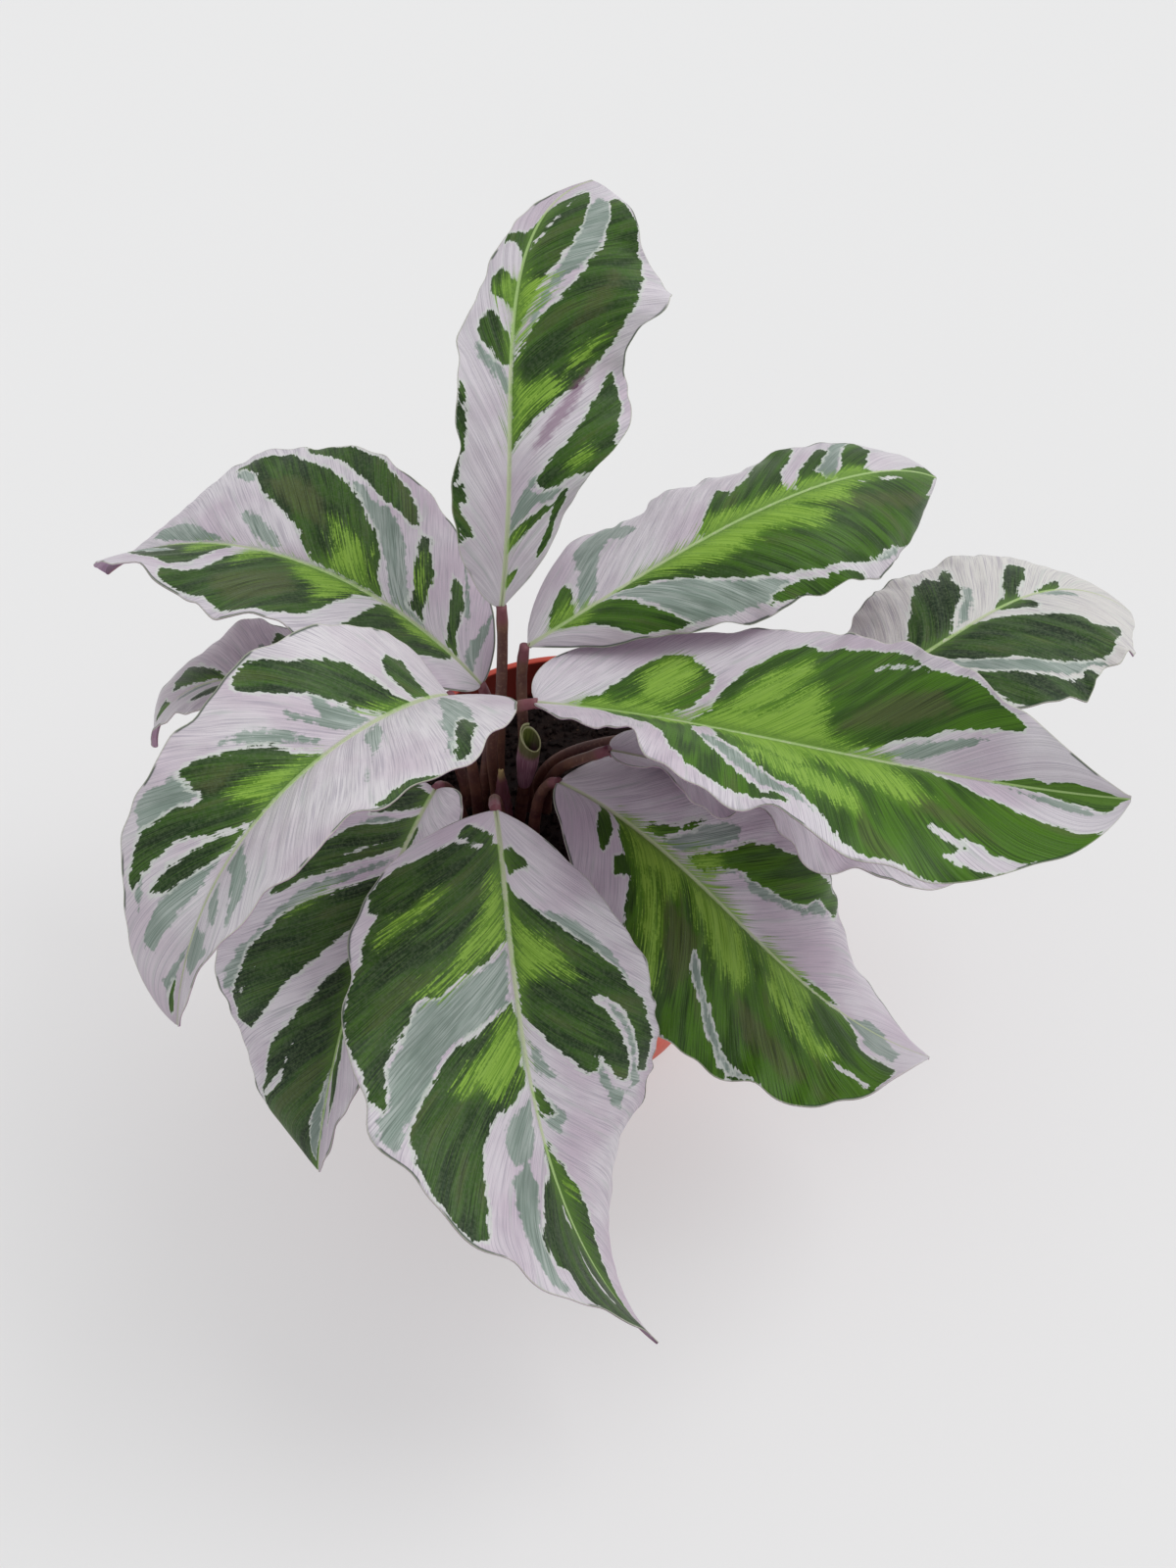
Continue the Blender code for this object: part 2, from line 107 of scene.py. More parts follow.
LEAVES = {
    "back": dict(
        foot=(105, 8.0), arrive=(0, 20),
        base=(-22, 7, 190), length=156, heading=67, turn=(20, -26),
        pitch=(72, 45, -12), roll=(-11, -9, 10), half_width=(18, 44), cup=(20, 11), arch=(28, 36),
        lobe=(0.35, -0.25), belly=(0.65, 0.95), taper=(1.3, 0.5),
        ripple=(0.08, 0.14), ripple_phase=(-122, 44),
    ),
    "back_left": dict(
        foot=(141, 9.6), arrive=(0, 25),
        base=(-30, 11, 151), length=162, heading=150, turn=(9, 7),
        pitch=(42, 2, -50), roll=(-6, 6, -24), half_width=(40, 50), cup=(27, 19), arch=(17, 26),
        lobe=(0.15, 0.45), belly=(0.65, 0.85), taper=(0.8, 0.85),
        ripple=(0.08, 0.03), ripple_phase=(-118, -47),
    ),
    "back_right": dict(
        foot=(43, 11.0), arrive=(0, 50),
        base=(-14, 7, 173), length=166, heading=12, turn=(14, 22),
        pitch=(32, 11, -40), roll=(-9, 8, -29), half_width=(44, 37), cup=(9, -1), arch=(43, 57),
        lobe=(-0.35, -0.1), belly=(0.3, 0.95), taper=(0.85, 0.65),
        ripple=(0.05, 0.05), ripple_phase=(-50, 80),
    ),
    "right": dict(
        foot=(135, 3.0), arrive=(0, 15),
        base=(-11, -20, 174), length=190, heading=-10, turn=(-22, 1),
        pitch=(4, 16, 3), roll=(20, 5, -53), half_width=(47, 50), cup=(26, 27), arch=(18, 17),
        lobe=(0.6, 0.15), belly=(0.6, 0.7), taper=(1.0, 0.75),
        ripple=(0.01, 0.06), ripple_phase=(6, 14),
    ),
    "far_right": dict(
        foot=(50, 17.0), arrive=(0, 25),
        base=(88, 4, 152), length=132, heading=5, turn=(33, -10),
        pitch=(25, -4, -40), roll=(12, -5, 13), half_width=(38, 45), cup=(8, 18), arch=(46, 28),
        lobe=(0.6, 0.2), belly=(0.55, 0.75), taper=(0.75, 0.7),
        ripple=(0.04, 0.06), ripple_phase=(40, -8),
    ),
    "left": dict(
        foot=(200, 9.0), arrive=(0, 25),
        base=(-37, -31, 188), length=159, heading=252, turn=(-21, 5),
        pitch=(46, -6, -66), roll=(10, 4, -39), half_width=(40, 35), cup=(32, 29), arch=(10, 15),
        lobe=(0.35, 0.85), belly=(0.55, 0.6), taper=(0.8, 0.65),
        ripple=(0.04, 0.04), ripple_phase=(78, 5),
    ),
    "front_left": dict(
        foot=(215, 15.5), arrive=(0, 25),
        base=(-44, -26, 140), length=139, heading=249, turn=(4, -3),
        pitch=(2, -25, -79), roll=(2, -12, -23), half_width=(28, 47), cup=(36, 20), arch=(5, 26),
        lobe=(0.2, 0.4), belly=(0.55, 0.6), taper=(0.8, 0.75),
        ripple=(0.03, 0.07), ripple_phase=(73, 134),
    ),
    "front": dict(
        foot=(270, 12.5), arrive=(0, 25),
        base=(-23, -53, 160), length=179, heading=278, turn=(8, 52),
        pitch=(3, -45, -27), roll=(-17, 10, 58), half_width=(48, 54), cup=(9, 23), arch=(43, 20),
        lobe=(-0.2, 0.1), belly=(0.85, 0.65), taper=(0.85, 0.95),
        ripple=(0.02, 0.02), ripple_phase=(152, -51),
    ),
    "front_right": dict(
        foot=(-50, 16.0), arrive=(0, 25),
        base=(-4, -23, 140), length=157, heading=-37, turn=(10, 17),
        pitch=(10, -39, -3), roll=(11, -16, 36), half_width=(41, 51), cup=(14, 22), arch=(35, 22),
        lobe=(0.3, 0.2), belly=(0.55, 0.8), taper=(0.8, 0.5),
        ripple=(0.07, 0.04), ripple_phase=(103, -61),
    ),
    "low_left": dict(
        foot=(145, 16.0), arrive=(0, 25),
        base=(-50, 14, 130), length=120, heading=177, turn=(-9, 20),
        pitch=(16, -6, -87), roll=(-1, -5, -5), half_width=(25, 31), cup=(23, 18), arch=(22, 30),
        lobe=(0.4, 0.4), belly=(0.55, 0.55), taper=(0.75, 0.75),
        ripple=(0.03, 0.10), ripple_phase=(77, 93),
    ),
    "low_right": dict(
        foot=(25, 15.5), arrive=(-15, 50),
        base=(13, -23, 155), length=120, heading=-5, turn=(-18, -17),
        pitch=(-9, -6, -9), roll=(14, 12, -16), half_width=(32, 37), cup=(15, 29), arch=(35, 15),
        lobe=(0.35, 0.2), belly=(0.6, 0.6), taper=(0.75, 0.75),
        ripple=(0.01, 0.13), ripple_phase=(126, 157),
    ),
}
SHEATH = dict(
    base=(-23, -14.5, 104.5), length=36, heading=270, turn=(0, 0),
    pitch=(84, 86, 80), roll=(0, 0, 0), half_width=(4, 4), cup=(60, 60), arch=(30, 30),
    lobe=(0, 0), belly=(0.2, 0.2), taper=(0.8, 0.8),
    ripple=(0, 0), ripple_phase=(0, 0),
)

# Markings of each blade: a colour, then the corners of its outline in hundredths, across the half-width
# with the left negative, and along the rib from the base. A later outline lies over an earlier one.
MARKS = {
    "front": """
    dark 8,6 30,4.5 57,3.5 50,6 30,7 12,8
    dark 2,8 25,8.5 55,7.5 68,9.5 90,12 97,16 94,19 86,20 90,25 92,28 97,29 99,38 95,42 97,46 91,47 83,41
      68,37 58,33 45,33 30,30 15,28 3,25
    lime 1,12 12,13 18,20 25,24 32,27 50,31 60,33 45,33 30,30 12,27 2,25
    lime 42,16 58,18 75,21 82,25 72,24 55,20
    mint 3,26 15,29 30,31 45,33 60,34 68,38 72,40 82,42 88,47 94,48 97,52 90,52 82,50 72,48 62,46 50,42
      40,40 28,39 15,37 5,36
    dark 3,36 15,38 30,40 45,42 58,45 70,48 80,51 92,55 97,60 96,66 90,67 75,64 60,60 45,55 30,52 15,51
      4,49
    lime 1,37 12,38 25,42 42,45 50,47 32,48 30,50 20,50 8,48 1,46
    mint 3,51 12,53 25,54 32,57 35,60 25,61 12,60 5,56
    mint 22,61 40,62 52,66 70,71 88,77 95,80 85,80 68,75 50,71 35,68 22,65
    dark 0,60 4,65 20,67 35,70 50,72 65,76 62,79 80,82 100,87 100,100 0,100
    pale 3,68 7,71 10,75 6,75 3,71
    pale 16,78 38,83 60,89 78,94 58,90 36,85
    dark -2,10 -8,9 -20,9 -22,10 -33,11.5 -30,13 -18,12.5 -8,13.5
    mint -12,20 -40,20.5 -60,23 -75,28 -82,34 -88,42 -86,36 -72,30 -55,26 -38,23
    dark -2,15 -10,18 -25,20.5 -45,24 -62,28 -75,32 -87,38 -93,46 -90,54 -82,53 -80,46 -76,41 -70,38
      -55,35 -50,36 -58,39 -66,44 -72,50 -70,54 -62,53 -55,50 -48,47 -44,50 -38,50 -30,47 -20,44 -10,40
      -3,38
    lime -1,20 -10,22 -20,24 -32,26 -45,32 -38,33 -25,31 -12,32 -2,34
    mint -55,35 -64,38 -73,42 -79,47 -80,54 -84,57 -72,57 -75,50 -71,44 -63,39
    mint -44,46 -50,50 -58,55 -68,57 -66,60 -55,58 -47,53
    mint -3,42 -10,45 -18,49 -12,49 -5,47
    mint -2,49 -8,52 -20,57 -12,59 -5,57
    dark -1,50 -7,53 -10,55.5 -3,55
    dark 0,60 -6,64 -12,68 -20,75 -19,80 -15,85 -8,90 -3,95 0,98
    lime -4,64 -9,67 -15,71 -7,70
    """,
    "front_right": """
    dark 2,11 10,12 25,13 42,14.5 52,17 55,18 45,18 30,16.5 20,15 8,14
    dark 2,14.5 12,17 25,19 35,22 50,21 60,23 45,25 55,26.5 72,29 84,32 87,38 90,43 97,47 100,52 100,88
      94,89 92,92 78,92 62,90 50,87 38,84 22,83 10,81 2,79
    lime 1,17 12,21 28,25 20,29 24,33 8,32 4,35 18,42 30,48 38,55 25,54 12,51 1,48
    lime 1,58 10,62 20,69 8,69 1,67
    lime 30,28 60,33 85,40 60,35
    lime 20,62 45,72 52,77 35,70
    olive 30,32 60,38 75,45 60,46 35,44
    olive 45,56 70,62 85,72 75,75 55,66
    mint 40,43 55,45 65,50 80,55 93,60 100,65 100,69 90,63 75,57 60,52 45,46
    pale 52,77 65,80 80,85 97,88 85,88 70,84 58,80
    mint -2,82 3,80 12,84 30,85 45,89 62,92 40,93 20,91 5,90 -10,90 -18,86
    dark -5,21 -12,22 -22,26 -32,28 -42,30 -30,29 -18,26.5 -8,25
    mint -4,25 -20,28 -35,30 -48,33 -60,37 -48,38 -35,36 -25,34 -8,30
    dark -10,32 -20,34 -35,38 -50,40 -62,43 -75,47 -85,52 -90,60 -100,68 -85,68 -78,67 -72,61 -65,60
      -60,61 -50,58 -42,52 -35,46 -30,41 -18,38 -8,36
    lime -8,33 -14,34 -20,37 -12,37
    mint -5,34 -18,39 -24,42 -30,44 -25,47 -34,53 -45,59 -60,63 -74,66 -68,60 -55,59 -45,54 -36,47 -30,41
      -18,37
    dark -3,68 -7,72 -6,77 -2,75
    """,
    "front_left": """
    dark 2,3 20,3 55,2 55,5 50,9 46,12 45,15 30,12 15,9 3,6
    dark 2,9 15,13 35,18 47,20 52,24 62,28 68,31 78,39 72,38 60,35 45,31 30,27 15,23 3,19
    mint 13,12 30,14 45,17.5 50,20 35,17.5 16,14
    mint 18,20 30,23 42,28 30,25
    mint 4,23 25,29 45,34 60,38 72,43 80,48 88,55 95,63 90,63 82,60 78,50 68,44 55,40 35,34 15,28
    dark 3,27 15,30.5 35,36 55,41 68,45 78,52 78,57 88,64 90,69 80,70 60,64 45,57 30,50 15,42 5,36
    lime 30,33 50,38 62,43 45,39
    mint 68,54 80,62 86,67 78,62
    dark 2,46 10,50 20,56 40,66 60,72 75,80 100,90 100,100 0,100 0,60
    pale 36,70 50,76 65,80 95,87 70,84 54,80
    mint 0,70 8,80 20,88 24,96 8,98 0,90
    dark -8,13 -12,14 -9,20 -4,21
    dark -3,30 -20,35 -45,43 -70,52 -78,60 -50,57 -25,49 -5,41
    mint -3,45 -25,52 -50,61 -60,66 -40,64 -15,57
    dark -2,62 -15,68 -35,76 -45,84 -25,80 -8,74
    mint -2,78 -12,83 -20,90 -8,90
    """,
    "back": """
    dark 6,5 20,4.5 35,6 38,8.5 28,8 12,7
    lime 6,5 20,5 33,7 12,7
    dark 2,12 10,13 30,16 50,19 66,21.5 50,21 35,19.5 15,17 3,15
    lime 1,12 14,14 30,17.5 14,16
    mint 3,15 15,18 40,22 62,23 72,25 55,25 35,24 28,25 40,28 28,28 15,24 3,19
    dark 70,12 80,11 88,14 80,18 84,22 72,25 68,22 73,17
    dark 32,27 45,25 60,26 80,28 100,28 100,33 92,34 88,38 90,43 85,49 78,47 70,43 60,39 52,34 42,31
    lime 60,30 72,29 82,31 70,33
    blush 20,32 35,35 48,40 58,46 68,51 55,48 40,42 28,37
    dark 2,33 15,38 35,43 55,47 68,51 80,55 84,57 80,62 78,70 82,78 95,86 97,90 92,94 85,95 70,95 62,93
      65,87 60,82 55,78 45,74 40,68 30,63 20,59 8,54 2,50
    lime 1,34 12,38 25,42 42,46 30,47 14,46 2,47
    lime 42,48 62,52 72,57 55,53
    olive 45,58 60,62 68,72 62,74 50,66
    mint 8,53 15,58 22,63 30,68 42,73 52,78 58,84 65,87 60,92 50,93 42,92 35,88 33,80 28,74 22,68 14,62
    dark 0,54 10,63 20,70 30,77 36,84 36,90 28,93 22,93 16,86 10,78 0,72
    lime 0,52 6,56 18,63 22,68 12,68 0,67
    dark -100,16 -93,19 -90,17 -72,17 -75,19 -85,21 -88,24 -78,24 -85,27 -95,27 -97,33 -90,35 -86,40
      -88,44 -94,46 -97,38 -100,30
    mint -3,43 -20,46 -45,49 -65,52 -70,55 -55,53 -35,51 -15,49 -2,47
    dark -1,50 -15,50 -30,51 -45,53 -60,54 -70,56 -65,59 -55,60 -35,58 -15,56 -2,54
    dark -1,61 -22,62 -45,63 -66,64 -74,66 -62,68.5 -38,68 -15,67 -1,66
    lime 0,60 -22,62 -55,64 -45,67 -12,67 0,67
    dark 0,72 -22,74 -45,75 -90,74.5 -95,76 -60,77 -30,77 -12,79 4,86 20,93 12,84 2,76
    """,
    "back_left": """
    mint 5,2 20,4 40,5 60,7 80,9 98,11 90,11 60,9.5 30,8 10,6
    dark 5,8 15,9.5 28,12 42,13.5 60,16 68,19 66,20 52,18 38,15.5 22,13 8,11
    mint 44,11 60,13 75,17 85,21 72,18 58,15
    dark 8,18 20,20 35,21.5 50,23 65,27 72,28 66,29 50,27 30,24 12,22
    lime 22,21 45,24 55,27 35,24
    mint 3,16 12,22 30,26 50,30 62,34 68,37 62,38 70,42 72,45 62,44 55,40 45,36 28,31 12,27 4,25
    dark 3,28 15,31 30,33 42,36 55,41 65,45 75,51 85,57 90,60 88,66 82,70 75,68 72,64 62,63 50,60 38,56
      25,50 12,46 4,43
    lime 1,29 15,33 28,35 35,41 38,45 22,41 10,41 2,40
    olive 30,45 50,48 65,56 60,61 45,57 32,50
    dark 70,31 80,33 88,36 95,42 98,50 100,58 92,55 85,49 78,45 70,38
    mint 5,50 15,54 25,58 31,62 25,63 15,59 6,55
    mint 2,64 10,68 20,74 28,80 33,84 20,85 8,80 2,73
    mint 58,63 72,65 84,70 70,69 60,66
    dark -1,9 -15,9 -32,11 -48,15 -62,20 -66,26 -60,30 -45,29 -30,28 -12,27 -1,25
    lime 0,9 -10,12 -22,16 -18,21 -8,24 0,26
    dark -1,29 -15,32 -35,34 -60,36 -80,39 -90,43 -92,50 -88,55 -95,62 -93,67 -80,68 -72,64 -60,61 -45,60
      -30,59 -15,57 -1,54
    lime 0,31 -15,33 -40,36 -50,38 -30,40 -25,44 -10,46 0,50
    lime 0,52 -15,54 -35,57 -20,58 0,57
    olive -25,45 -45,42 -65,44 -80,50 -75,56 -60,58 -45,54 -30,48
    dark -1,61 -15,63 -35,64 -55,65 -68,68 -70,73 -62,78 -45,84 -20,87 -1,86
    lime 0,62 -20,65 -35,68 -15,70 0,69
    mint -35,70 -50,74 -50,80 -35,84 -28,78 -30,72
    dark -30,91 0,91 30,94 60,97 60,100 -60,100
    """,
    "back_right": """
    dark -1,6 -10,6 -22,7 -35,9.5 -32,11 -18,11.5 -3,11
    lime 0,6 -8,7 -14,10 0,11
    mint -3,12 -20,13 -40,14 -70,12 -90,16 -100,20 -100,26 -85,25 -70,28 -55,29.5 -52,26 -65,22 -45,19
      -25,18 -8,17
    dark -1,40 -12,42 -30,45 -48,49 -40,50.5 -30,49 -38,52 -55,57 -75,60 -100,64 -100,70 -80,69 -60,66
      -40,62 -20,60 -10,60 -1,62
    lime 0,40 -14,44 -8,50 -10,58 -14,60 0,62
    dark -3,62 -15,63 -25,65 -45,69 -60,72 -70,74 -60,74.5 -40,71 -25,69 -12,68.5 -3,70
    mint -3,69 -25,68 -45,72 -70,76 -100,80 -100,83 -70,79 -45,76 -20,73 -5,71
    dark -1,71 -20,74 -45,77 -75,80 -100,83 -90,83 -60,83 -45,82 -25,80 -10,78 -1,80
    lime 0,62 -12,64 -8,70 -16,76 0,79
    dark -1,88 -20,93 -60,97 -20,99 0,100
    dark 2,6 15,8 30,11 40,14 60,17 80,19 92,21 88,23 92,26 88,29 70,27 50,24 30,22 12,19 2,16
    lime 1,7 15,9 26,12 12,13 1,14
    mint 3,18 15,21 35,24 60,27 75,28 88,30 92,35 85,40 88,45 85,50 78,50 70,47 60,42 48,37 35,33 20,27
      8,23
    dark 2,20 12,24 22,29 35,34 48,38 60,44 70,50 78,57 82,66 82,75 90,82 100,86 100,94 85,93 70,97 50,94
      40,97 20,98 0,100
    lime 1,26 12,31 22,36 30,42 25,48 18,50 28,58 36,62 28,63 15,60 1,58
    lime 1,58 12,63 20,70 8,71 1,77
    olive 10,63 20,64 30,68 42,78 55,88 50,93 40,90 30,82 20,73
    dark 85,47 90,45 97,50 100,58 98,66 94,66 88,58 85,52
    mint 80,68 88,73 96,80 86,80 80,76
    pale 8,74 14,81 13,90 7,84
    """,
    "right": """
    dark -1,7 -8,8 -15,9 -18,11 -35,14 -55,17 -68,20 -68,23 -55,26 -45,28 -30,28 -15,26 -6,23 -1,20
    lime 0,7 -8,10 -5,14 -12,18 -4,21 0,20
    lime -18,19 -45,19 -62,22 -45,24 -25,22
    dark -1,27 -15,30 -35,31 -55,33 -75,37 -82,40 -78,42 -83,47 -88,53 -88,60 -85,66 -92,74 -93,79 -85,83
      -75,83 -62,79 -50,76 -40,71 -30,68 -20,63 -10,60 -1,54
    lime 0,28 -15,32 -10,37 -22,42 -42,46 -24,48 -10,50 0,53
    lime -18,34 -45,37 -60,42 -35,40
    olive -15,52 -35,55 -55,60 -70,68 -60,72 -45,68 -30,62
    mint -66,52 -76,55 -85,63 -83,65 -74,58
    mint -2,60 -15,65 -30,71 -45,78 -34,76 -20,72 -8,68
    dark 0,80 -6,83 -15,86 -10,88 -20,90 -28,92 -27,97 -10,98 0,100
    dark 1,6 15,9 30,13 45,18 58,24 68,31 78,36 85,42 88,48 86,51 89,57 85,57 80,53 72,48 62,43 50,37
      40,33 25,31 1,31
    lime 0,8 14,11 24,18 14,20 28,27 12,29 0,30
    mint 38,36 48,36 55,41 65,47 74,53 80,58 83,61 76,59 66,53 55,47 45,42
    dark 1,32 15,34 28,37 36,38 40,42 50,47 60,52 68,57 77,60 85,64 92,66 94,70 96,75 100,79 100,96 90,96
      70,93 55,91 40,87 25,82 12,76 1,69
    lime 0,34 12,37 24,44 34,52 20,50 0,48
    lime 0,46 12,51 22,59 34,70 22,68 10,63 0,62
    lime 35,45 50,54 62,64 52,62 42,54
    olive 18,60 32,66 45,74 55,80 45,79 30,72
    pale 47,72 56,74 66,76 72,79 78,77 88,80 100,84 100,89 88,86 76,83 66,81 58,77
    mint 4,82 15,87 30,92 45,95 30,94 15,92
    dark 0,82 5,88 15,92 25,95 45,97 20,99 0,100
    """,
    "far_right": """
    dark -1,20 -12,23 -20,24 -30,28 -45,33 -58,38 -68,42 -74,46 -68,46 -60,47 -50,49 -40,48 -28,45 -20,40
      -10,37 -2,33
    dark -76,52.5 -66,49 -54,48 -60,50.5
    mint -5,37 -15,41 -28,46 -42,49 -30,49.5 -15,45 -5,41
    dark -1,50 -8,55 -20,58 -35,62 -48,65 -50,67 -40,68.5 -25,65 -12,60 -1,58
    dark -1,65 -8,70 -14,74 -5,74 0,70
    dark 1,20 15,26 35,32 50,40 65,48 80,54 92,60 85,66 78,72 75,78 70,78 66,72 58,66 50,67 42,65 32,60
      20,54 8,46 1,40
    mint 8,22 25,26 42,29 55,33 68,40 80,48 90,55 100,60 92,59 80,54 65,47 52,40 38,33 20,27
    dark 48,29 70,30 95,31 100,36 100,55 92,54 85,47 75,41 62,35
    dark 1,50 10,55 18,59 10,60 1,58
    mint 1,64 10,70 18,76 8,76 1,72
    dark -3,5 -25,8 -45,13 -30,14 -8,12
    mint 3,6 30,10 55,16 35,16 8,11
    """,
    "left": """
    dark 2,10 15,12 35,14 55,15.5 58,18 62,19 55,21 40,21 25,18.5 8,16
    dark 2,18 15,22 35,25 55,29 68,33 75,37 88,41 97,44 90,47 80,46 65,43 50,38 35,35 18,31 3,26
    lime 1,19 8,24 16,31 5,28
    mint 3,30 20,33 30,36 45,37 50,39 35,39 25,39 38,42 50,44 40,44 20,40 5,36
    mint 10,41 40,47 60,52 70,56 55,53 35,49 12,43
    dark 1,43 15,47 35,50 55,55 70,59 75,62 68,63 55,62 45,62 50,65 65,66 78,70 85,76 92,79 85,80 70,76
      50,70 30,67 12,63 1,60
    lime 0,43 12,48 25,55 35,59 25,60 12,58 1,57
    olive 40,55 60,60 62,62 45,61
    mint 48,62 75,62 92,66 95,70 80,72 65,67
    dark 3,62 15,66 35,72 55,77 62,79.5 40,77 20,72 5,67
    mint 5,69 25,74 45,79 65,85 68,88 50,88 30,82 12,76
    mint 70,76 84,80 76,83
    mint 0,84 12,88 30,91 45,93 30,94 12,92
    dark 14,92 28,95 36,98 18,97
    mint -12,10 -25,12 -45,15 -60,19 -75,25 -85,30 -92,35 -80,34 -65,30 -50,26 -38,21 -25,17
    dark -62,24 -78,26 -88,30 -93,35 -84,33 -72,29
    mint -4,30 -15,32 -30,36 -42,41 -62,46 -50,43 -35,39 -15,36
    dark -100,40 -93,42 -91,46 -95,50 -100,48
    mint -4,64 -25,67 -50,69 -70,73 -82,78 -65,76 -45,73 -25,71 -8,70
    mint -10,73 -40,76 -58,79 -35,79 -14,77
    mint -3,81 -40,81 -85,83 -70,88 -30,88 -3,87
    """,
    "low_left": """
    dark 2,12 20,15 50,20 70,26 50,26 20,22 4,19
    dark 2,28 25,33 55,41 80,50 60,50 30,44 6,38
    mint 4,40 30,46 55,53 40,54 15,49
    dark 2,60 15,64 35,70 56,75 45,79 25,80 10,73
    dark -2,16 -25,21 -50,27 -68,34 -45,33 -20,28 -4,24
    lime 0,17 -12,20 -20,25 0,24
    mint -3,30 -25,36 -50,43 -35,44 -10,38
    dark -2,46 -25,52 -50,58 -70,66 -45,64 -20,58 -3,54
    mint -4,62 -25,68 -45,74 -25,74 -6,69
    dark -30,84 0,82 24,84 22,94 0,100 -20,95
    """,
    "low_right": """
    dark 1,21 15,22.5 35,25 52,30 40,28 20,26 2,25
    dark 1,27 20,28 36,33 30,36 15,35 2,33
    dark 2,36 15,38 25,42 22,48 4,49
    dark 18,54 28,57 40,62 30,61
    mint 4,50 20,56 45,65 35,67 12,60
    dark 2,60 20,66 45,73 66,80 60,86 40,84 18,77 4,70
    lime 1,60 14,65 22,71 6,69
    dark -1,12 -25,14 -55,20 -75,28 -50,28 -25,24 -3,20
    lime 0,12 -14,15 -20,21 0,20
    mint -3,26 -30,30 -60,37 -45,39 -18,34
    dark -1,34 -25,40 -55,47 -82,56 -65,60 -35,54 -12,48 -1,46
    lime 0,35 -16,40 -24,47 0,46
    mint -4,54 -30,61 -55,68 -35,70 -12,63
    dark -1,66 -20,72 -40,80 -25,86 -8,82 -1,78
    """,
}

# How the side veins sweep towards the tip, with the relief of veins and rib, in millimetres
VEIN_SWEEP = 0.22
VEIN_CURVE = 0.75
VEIN_SPACING = 7.5
VEIN_HEIGHT = 0.22
RIB_FADE = 8
MARGIN_FADE = 4
FINE_VEIN_SPACING = 1.5
RIB_GROOVE = 0.45
RIB_GROOVE_WIDTH = 1.3
RIB_RIDGE = 1.0
RIB_RIDGE_WIDTH = 1.3
RIDGE_FADE = 0.7
MARGIN_THINNING = 0.45

# How far apart the halves of the blades lie in the noises, in millimetres
LEAF_OFFSET = 317

# Small waves of the margins, as a share of the half-width, and how many there are along a blade.
# Their phases differ from leaf to leaf, from half to half and between lift and sideways swing.
WAVE_SHARE = 0.02
WAVE_COUNTS = (7, 12, 19)
WAVE_CURVE = 5
WAVE_LEAF_PHASE = 1.7
WAVE_HALF_PHASE = 2.6
SWING_NUMBER = 5

# How much wider the lime streaks reach on a vivid blade, in millimetres
LIME_SPREAD = 4.5

# How vivid each blade's green is, and how milky its pale ground
BLADE_TONES = {
    "back": (0.3, 0.0),
    "back_left": (0.2, 0.0),
    "back_right": (0.7, 0.1),
    "right": (1.0, 0.0),
    "far_right": (0.0, 1.0),
    "left": (0.15, 0.15),
    "front_left": (0.0, 0.0),
    "front": (0.15, 0.0),
    "front_right": (0.9, 0.0),
    "low_left": (0.0, 0.3),
    "low_right": (0.1, 0.0),
}

# Markings: how far their distances reach, in millimetres, and the colours that exclude each other
MARK_REACH = 12
MARK_NAMES = ("dark", "mint", "pale", "lime", "olive", "blush")
MARK_GROUNDS = ("dark", "mint", "pale")

# Margin round each half of a blade's map
UV_MARGIN = 0.012

# A direction that no stalk starts along
SWEEP_START = (0.3, 1, 0.2)

# Stalk ends, the rolled leaf with its stem, and the soil's crumbs
SEAT_DEPTH = 1.4 * MM
NECK_SWELLING = 0.14
NECK_PLACE = 0.93
NECK_SPREAD = 0.05
ROLL_TURNS = 1.4
ROLL_LENGTH = 26 * MM
ROLL_TIGHTEN = 0.14
ROLL_SLANT = 3.2 * MM
ROLL_SHEET = 0.45 * MM
ROLL_OPENING = 2.2
ROLL_CURVE = 0.8
ROLL_HIGH_SIDE = 0.6
ROLL_STEP = 0.15 * MM
NEW_STEM_OVERLAP = 4 * MM
NEW_STEM_FIT = 0.97
CRUMB_SIZE = 1.7 * MM
CRUMB_SHARES = (0.5, 1.0)
CRUMB_STRETCH = (0.6, 1.3)
CRUMB_ROUGHNESS = 0.25
CRUMB_LIFT = 0.25
CRUMB_INSET = 3 * MM

# Numbers that set the new leaf's stem and the sheath apart from the eleven leaves
NEW_STEM_NUMBER = 20
SHEATH_NUMBER = 12

# The pot's section in millimetres: heights of its wall's rings, then radius and height from the
# lip's outer edge, and from the foot's
WALL_HEIGHTS_INSIDE = (1.8, 2.6, 20, 45, 70, 90, 101)
WALL_HEIGHTS_OUTSIDE = (90, 70, 45, 20, 5)
RIM_SECTION = (
    (-4.0, -14.2), (-3.4, -13.6), (-2.6, -0.6), (-2.4, -0.15), (-2.0, 0), (-0.6, 0), (-0.15, -0.15),
    (0, -0.6), (0, -2.6), (-0.2, -3.1), (-1.1, -3.5), (-1.2, -3.9), (-1.3, -6.6), (-0.85, -7.0),
    (-0.85, -7.8), (-1.35, -8.2), (-1.6, -14.1), (-1.8, -14.7), (-2.1, -15), (-2.3, -15.2), (-2.4, -15.8),
)
FOOT_SECTION = ((0.2, 1.6), (-0.1, 0.7), (-0.8, 0), (-3, 0))

# Painted shade with soil stain on the pot's inside: how dark it is, and how far down the lip stays clear
INSIDE_SHADE_AND_SOIL = 0.85
LIP_UNDARKENED = 0.4 * MM

# Floor and light
FLOOR_HALF = 40
SUN_FROM = Vector((0.75, 0.3, 1.0))
SUN_ANGLE = 45
SUN_STRENGTH = 1.25
SKY_COLOUR = (0.985, 0.99, 1.0, 1)
SKY_STRENGTH = 0.7


